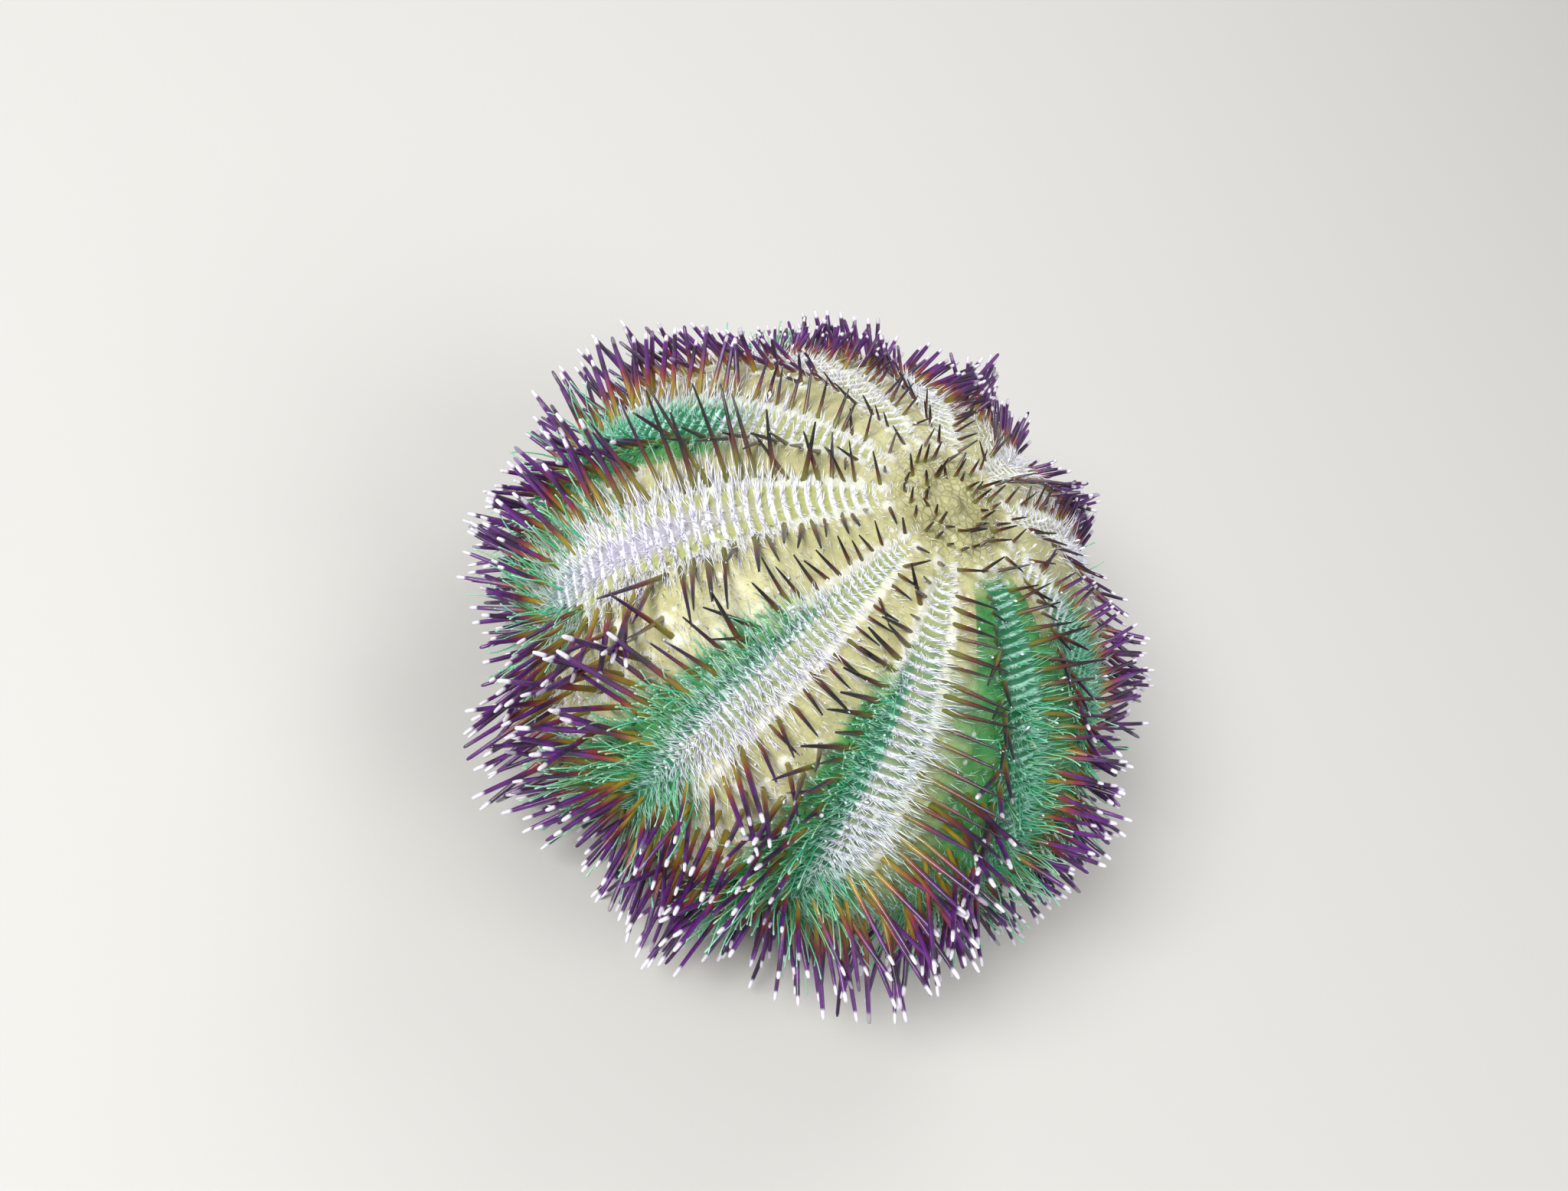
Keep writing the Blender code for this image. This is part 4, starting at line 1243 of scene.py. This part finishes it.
class URCHIN_OT_feet(bpy.types.Operator):
    """Build the green tube feet beside the bands, those that hold the floor, and those of the mouth"""

    bl_idname = "urchin.feet"
    bl_label = "Tube feet"

    def execute(self, context):
        sizes = context.scene.urchin_sizes
        draw = np.random.default_rng(23)
        shape = template(5, (
            (0, 1.2), (0.2, 0.95), (0.4, 0.8), (0.6, 0.75), (0.8, 0.7), (0.93, 0.65), (0.97, 1.0), (1, 0.8),
        ))
        found = []
        for number, border, half in BANDS:
            side = -1 if number % 2 == 0 or number == 1 else 1
            count, start = (GREEN_BAND_FEET, 40) if number in GREEN_FOOT_BANDS else (PLAIN_BAND_FEET, 62)
            spot = side * draw.uniform(0.55, 1.45, count)
            if number == 3:
                spot = draw.uniform(-1.5, 1.4, count)
            found.append((border + half * spot, draw.uniform(start, 126, count), np.sign(spot)))
            spot = draw.uniform(-1.1, 1.1, PLAIN_BAND_FEET)
            found.append((border + half * spot, draw.uniform(76, 122, PLAIN_BAND_FEET), np.sign(spot)))
        azimuth, polar, sideways = gathered(found)
        count = len(azimuth)
        tilt = draw.uniform(8, 58, count)
        foot, direction, _ = side_direction(azimuth, polar, tilt, sideways, draw)
        length = sizes.foot_length * draw.uniform(0.5, 1.35, count) * (0.55 + 0.45 * eased(polar, 50, 85))
        bend = unit(draw.normal(0, 1, (count, 3)) + [0, 0, -0.7]) * (0.24 * length)[:, None]
        wave = random_ways(draw, count) * (0.045 * length)[:, None]
        part = planted(shape, foot - direction * 0.0002, direction, length,
                       sizes.foot_radius * draw.uniform(0.75, 1.2, count), bends=bend, waves=wave,
                       vary=draw.random(count))
        joined("side_feet", [part], material("tube_foot"), AREAS)
        self.floor_feet(draw, sizes)
        self.mouth_feet(draw, shape)
        return {"FINISHED"}

    def floor_feet(self, draw, sizes):
        """Two feet beside the borders of each ambulacrum, with their discs flat on the floor."""
        azimuth = []
        for i in range(AREA_COUNT):
            bands = BANDS_AFTER[i], BANDS_BEFORE[(i + 1) % AREA_COUNT]
            for side, band in zip((-1, 1), bands):
                azimuth.append(AMB_FIRST + AREA_STEP * i + side * (AMB_HALF - FOOT_BAND_PLACE * band))
        azimuth = np.array(azimuth)
        place, normal, _, _ = wall_frame(azimuth, np.full(len(azimuth), float(FOOT_POLAR)))
        floor = AXIS + (place - AXIS) * [FOOT_SPLAY, FOOT_SPLAY, 0]
        start = place - normal * 0.0008
        reach = floor + [0, 0, 0.5 * DISC_HEIGHT] - start
        length = np.linalg.norm(reach, axis=1)
        stem = template(8, (
            (0, 1.25), (0.2, 1.0), (0.4, 0.9), (0.6, 0.9), (0.8, 1.0), (0.94, 1.25), (1, 1.4),
        ))
        disc = template(16, ((0, 0.97), (0.25, 1), (0.7, 0.86), (1, 0.45)))
        wave = random_ways(draw, len(azimuth)) * (0.03 * length)[:, None]
        vary = np.linspace(0.3, 0.9, len(azimuth))
        stems = planted(stem, start, unit(reach), length, 2 * sizes.foot_radius, waves=wave, vary=vary)
        upwards = np.tile([0, 0, 1.0], (len(azimuth), 1))
        discs = planted(disc, floor, upwards, DISC_HEIGHT, DISC_RADIUS, vary=vary)
        discs["values"]["along"] = 0.85 + 0.15 * discs["values"]["along"]
        joined("floor_feet", [stems, discs], material("tube_foot"), AREAS)

    def mouth_feet(self, draw, shape):
        """A pair of short feet on the mouth skin for each area, and small gill tufts at its edge."""
        azimuth, notches = (
            np.array([first + AREA_STEP * i + side * spread for i in range(AREA_COUNT) for side in (-1, 1)])
            for first, spread in ((AMB_FIRST, BUCCAL_SPREAD), (INTER_FIRST, TUFT_SPREAD))
        )
        spread = np.repeat(notches, TUFT_COUNT // len(notches)) + draw.normal(0, 3.5, TUFT_COUNT)
        direction = unit(heading(spread) * 0.4 + draw.normal(0, 0.35, (TUFT_COUNT, 3)) + [0, 0, -1.0])
        length = draw.uniform(*TUFT_LENGTHS, TUFT_COUNT)
        bend = draw.normal(0, 0.0003, (TUFT_COUNT, 3))
        foot = upright(BUCCAL_PLACE, MOUTH_LOW + 0.0002, azimuth)
        short = planted(shape, foot, np.tile([0, 0, -1.0], (len(foot), 1)), MOUTH_FOOT_LENGTH,
                        MOUTH_FOOT_RADIUS, vary=draw.uniform(0.5, 1, len(foot)))
        foot = upright(MOUTH_RADIUS - 0.0002, MOUTH_EDGE + 0.0001, spread)
        tufts = planted(shape, foot, direction, length, 0.0001, bends=bend,
                        vary=draw.uniform(0.5, 1, TUFT_COUNT))
        joined("mouth_feet", [short, tufts], material("tube_foot"), ["peristome"])


class URCHIN_OT_pincers(bpy.types.Operator):
    """Build the small pale pincer organs scattered over skin and bands"""

    bl_idname = "urchin.pincers"
    bl_label = "Pincer organs"

    def execute(self, context):
        sizes = context.scene.urchin_sizes
        draw = np.random.default_rng(31)
        count = PINCER_COUNT
        shape = template(5, (
            (0, 0.34), (0.35, 0.26), (0.66, 0.28), (0.76, 0.8), (0.86, 1.0), (0.95, 0.7), (1, 0.12),
        ))
        azimuth = draw.uniform(0, 360, count)
        polar = np.degrees(np.arccos(draw.uniform(*np.cos(np.radians(PINCER_POLARS)), count)))
        foot, direction = leaning(azimuth, polar, draw.normal(0, 24, count), draw.normal(0, 24, count))
        length = sizes.pincer_length * draw.uniform(0.6, 1.15, count)
        part = planted(shape, foot - direction * 0.0002, direction, length, PINCER_RADIUS,
                       vary=draw.random(count))
        joined("pincer_organs", [part], material("pincer"), AREAS)
        return {"FINISHED"}


class URCHIN_OT_teeth(bpy.types.Operator):
    """Build the five teeth that meet in the mouth"""

    bl_idname = "urchin.teeth"
    bl_label = "Teeth"

    def shaped(self, point):
        """Place of a cube's point on a tooth that narrows and curves downwards."""
        down, far = 0.5 - point.z, point.y + 0.5
        near_at = TOOTH_ROOT_NEAR + (TOOTH_EDGE_NEAR - TOOTH_ROOT_NEAR) * down
        far_at = TOOTH_ROOT_FAR + (TOOTH_EDGE_FAR - TOOTH_ROOT_FAR) * down
        reach = near_at + (far_at - near_at) * far + TOOTH_BULGE * math.sin(math.pi * down)
        rounding = 0.35 + 0.65 * math.sin(math.pi * (0.25 + 0.5 * far))
        width = TOOTH_WIDTH * (1 - 0.5 * down ** 1.5) * rounding
        tip = 0.0002 * (1 - 4 * point.x ** 2)
        height = THROAT_ROOF + TOOTH_SINK - (TOOTH_LENGTH + TOOTH_EXTRA) * down - tip
        return Vector((point.x * width, reach, height))

    def execute(self, context):
        bm = bmesh.new()
        for i in range(AREA_COUNT):
            first = len(bm.verts)
            made = bmesh.ops.create_cube(bm, size=1)["verts"]
            edges = list({edge for vert in made for edge in vert.link_edges})
            bmesh.ops.subdivide_edges(bm, edges=edges, cuts=5, use_grid_fill=True)
            turn = Matrix.Rotation(math.radians(180 + INTER_FIRST + AREA_STEP * i), 3, "Z")
            for vert in bm.verts[:][first:]:
                vert.co = turn @ self.shaped(vert.co) + Vector(AXIS)
        bmesh.ops.smooth_vert(
            bm, verts=bm.verts, factor=0.25, use_axis_x=True, use_axis_y=True, use_axis_z=True,
        )
        bmesh.ops.recalc_face_normals(bm, faces=bm.faces)
        mesh = mesh_of("teeth", bm)
        mesh.shade_smooth()
        finished("teeth", mesh, material("tooth"), TEETH)
        return {"FINISHED"}


class URCHIN_OT_stage(bpy.types.Operator):
    """Build the pale floor, the soft studio lights and the camera"""

    bl_idname = "urchin.stage"
    bl_label = "Floor, lights and camera"

    def execute(self, context):
        stage = context.scene.urchin_stage
        bm = bmesh.new()
        bmesh.ops.create_grid(bm, x_segments=8, y_segments=8, size=FLOOR_HALF)
        floor = linked("floor", mesh_of("floor", bm))
        made, tree, surface, _ = new_material("floor", Roughness=0.6, Coat_Weight=0.0)
        feed(tree, surface.inputs["Base Color"], stage.floor_grey)
        floor.data.materials.append(made)

        target, back, right, up = self.place_camera(context, stage)
        lights = (
            ("key_light", target + (1.0 * back - 0.3 * right + 0.3 * up) * 0.86, 0.4, stage.key_power),
            ("fill_light", target + (0.6 * back + 0.9 * right - 0.1 * up) * 0.9, 0.7, stage.fill_power),
            ("back_light", target + Vector((-0.2, 0.8, 0.7)), 0.6, stage.back_power),
        )
        for name, place, size, power in lights:
            data = bpy.data.lights.new(name, "AREA")
            data.shape = "DISK"
            data.size = size
            data.energy = power
            lamp = linked(name, data)
            lamp.location = place
            lamp.rotation_euler = (target - place).to_track_quat("-Z", "Y").to_euler()
        world = bpy.data.worlds.new("studio")
        world.use_nodes = True
        sky = world.node_tree.nodes["Background"]
        sky.inputs["Color"].default_value = (0.93, 0.95, 1, 1)
        sky.inputs["Strength"].default_value = stage.world_strength
        context.scene.world = world
        context.scene.view_settings.view_transform = "Standard"
        return {"FINISHED"}

    def place_camera(self, context, stage):
        """Camera at the photograph's angle. Gives the target and the camera's directions."""
        rise, roll = stage.elevation, stage.roll
        back = Vector((0, -math.cos(rise), math.sin(rise)))
        flat_right = Vector((1, 0, 0))
        flat_up = back.cross(flat_right)
        right = math.cos(roll) * flat_right + math.sin(roll) * flat_up
        up = -math.sin(roll) * flat_right + math.cos(roll) * flat_up
        data = bpy.data.cameras.new("camera")
        data.lens = stage.lens
        data.sensor_width = SENSOR
        data.clip_start, data.clip_end = 0.005, 20
        focal = stage.lens / SENSOR * PHOTO_WIDTH
        target = Vector(AXIS) + Vector((0, 0, WIDEST_HEIGHT))
        aside = (MIDDLE_X - PHOTO_WIDTH / 2) / focal * stage.distance
        above = -(MIDDLE_Y - PHOTO_HEIGHT / 2) / focal * stage.distance
        place = target + back * stage.distance - aside * right - above * up
        camera = linked("camera", data)
        camera.matrix_world = Matrix.Translation(place) @ Matrix((right, up, back)).transposed().to_4x4()
        context.scene.camera = camera
        return target, back, right, up


class URCHIN_PT_panel(bpy.types.Panel):
    """Lists the steps that build the sea urchin."""

    bl_idname = "URCHIN_PT_panel"
    bl_label = "Sea urchin"
    bl_space_type = "VIEW_3D"
    bl_region_type = "UI"
    bl_category = "Sea urchin"

    def draw(self, context):
        for step in STEPS:
            self.layout.operator(step.bl_idname)
        for group in (context.scene.urchin_sizes, context.scene.urchin_colours, context.scene.urchin_stage):
            box = self.layout.box()
            for name in group.__annotations__:
                box.prop(group, name)


SETTINGS = {"urchin_sizes": UrchinSizes, "urchin_colours": UrchinColours, "urchin_stage": UrchinStage}
STEPS = (
    URCHIN_OT_stage, URCHIN_OT_skin, URCHIN_OT_spines, URCHIN_OT_hairs, URCHIN_OT_feet,
    URCHIN_OT_pincers, URCHIN_OT_teeth,
)


def register():
    """Makes the settings, steps and panel known."""
    for kind in (*SETTINGS.values(), *STEPS, URCHIN_PT_panel):
        bpy.utils.register_class(kind)
    for name, kind in SETTINGS.items():
        setattr(bpy.types.Scene, name, PointerProperty(type=kind))


def unregister():
    """Takes them back."""
    for name in SETTINGS:
        delattr(bpy.types.Scene, name)
    for kind in (URCHIN_PT_panel, *reversed(STEPS), *reversed(SETTINGS.values())):
        bpy.utils.unregister_class(kind)


def main():
    """Builds every piece."""
    register()
    for step in STEPS:
        group, name = step.bl_idname.split(".")
        getattr(getattr(bpy.ops, group), name)()


if __name__ == "__main__":
    main()
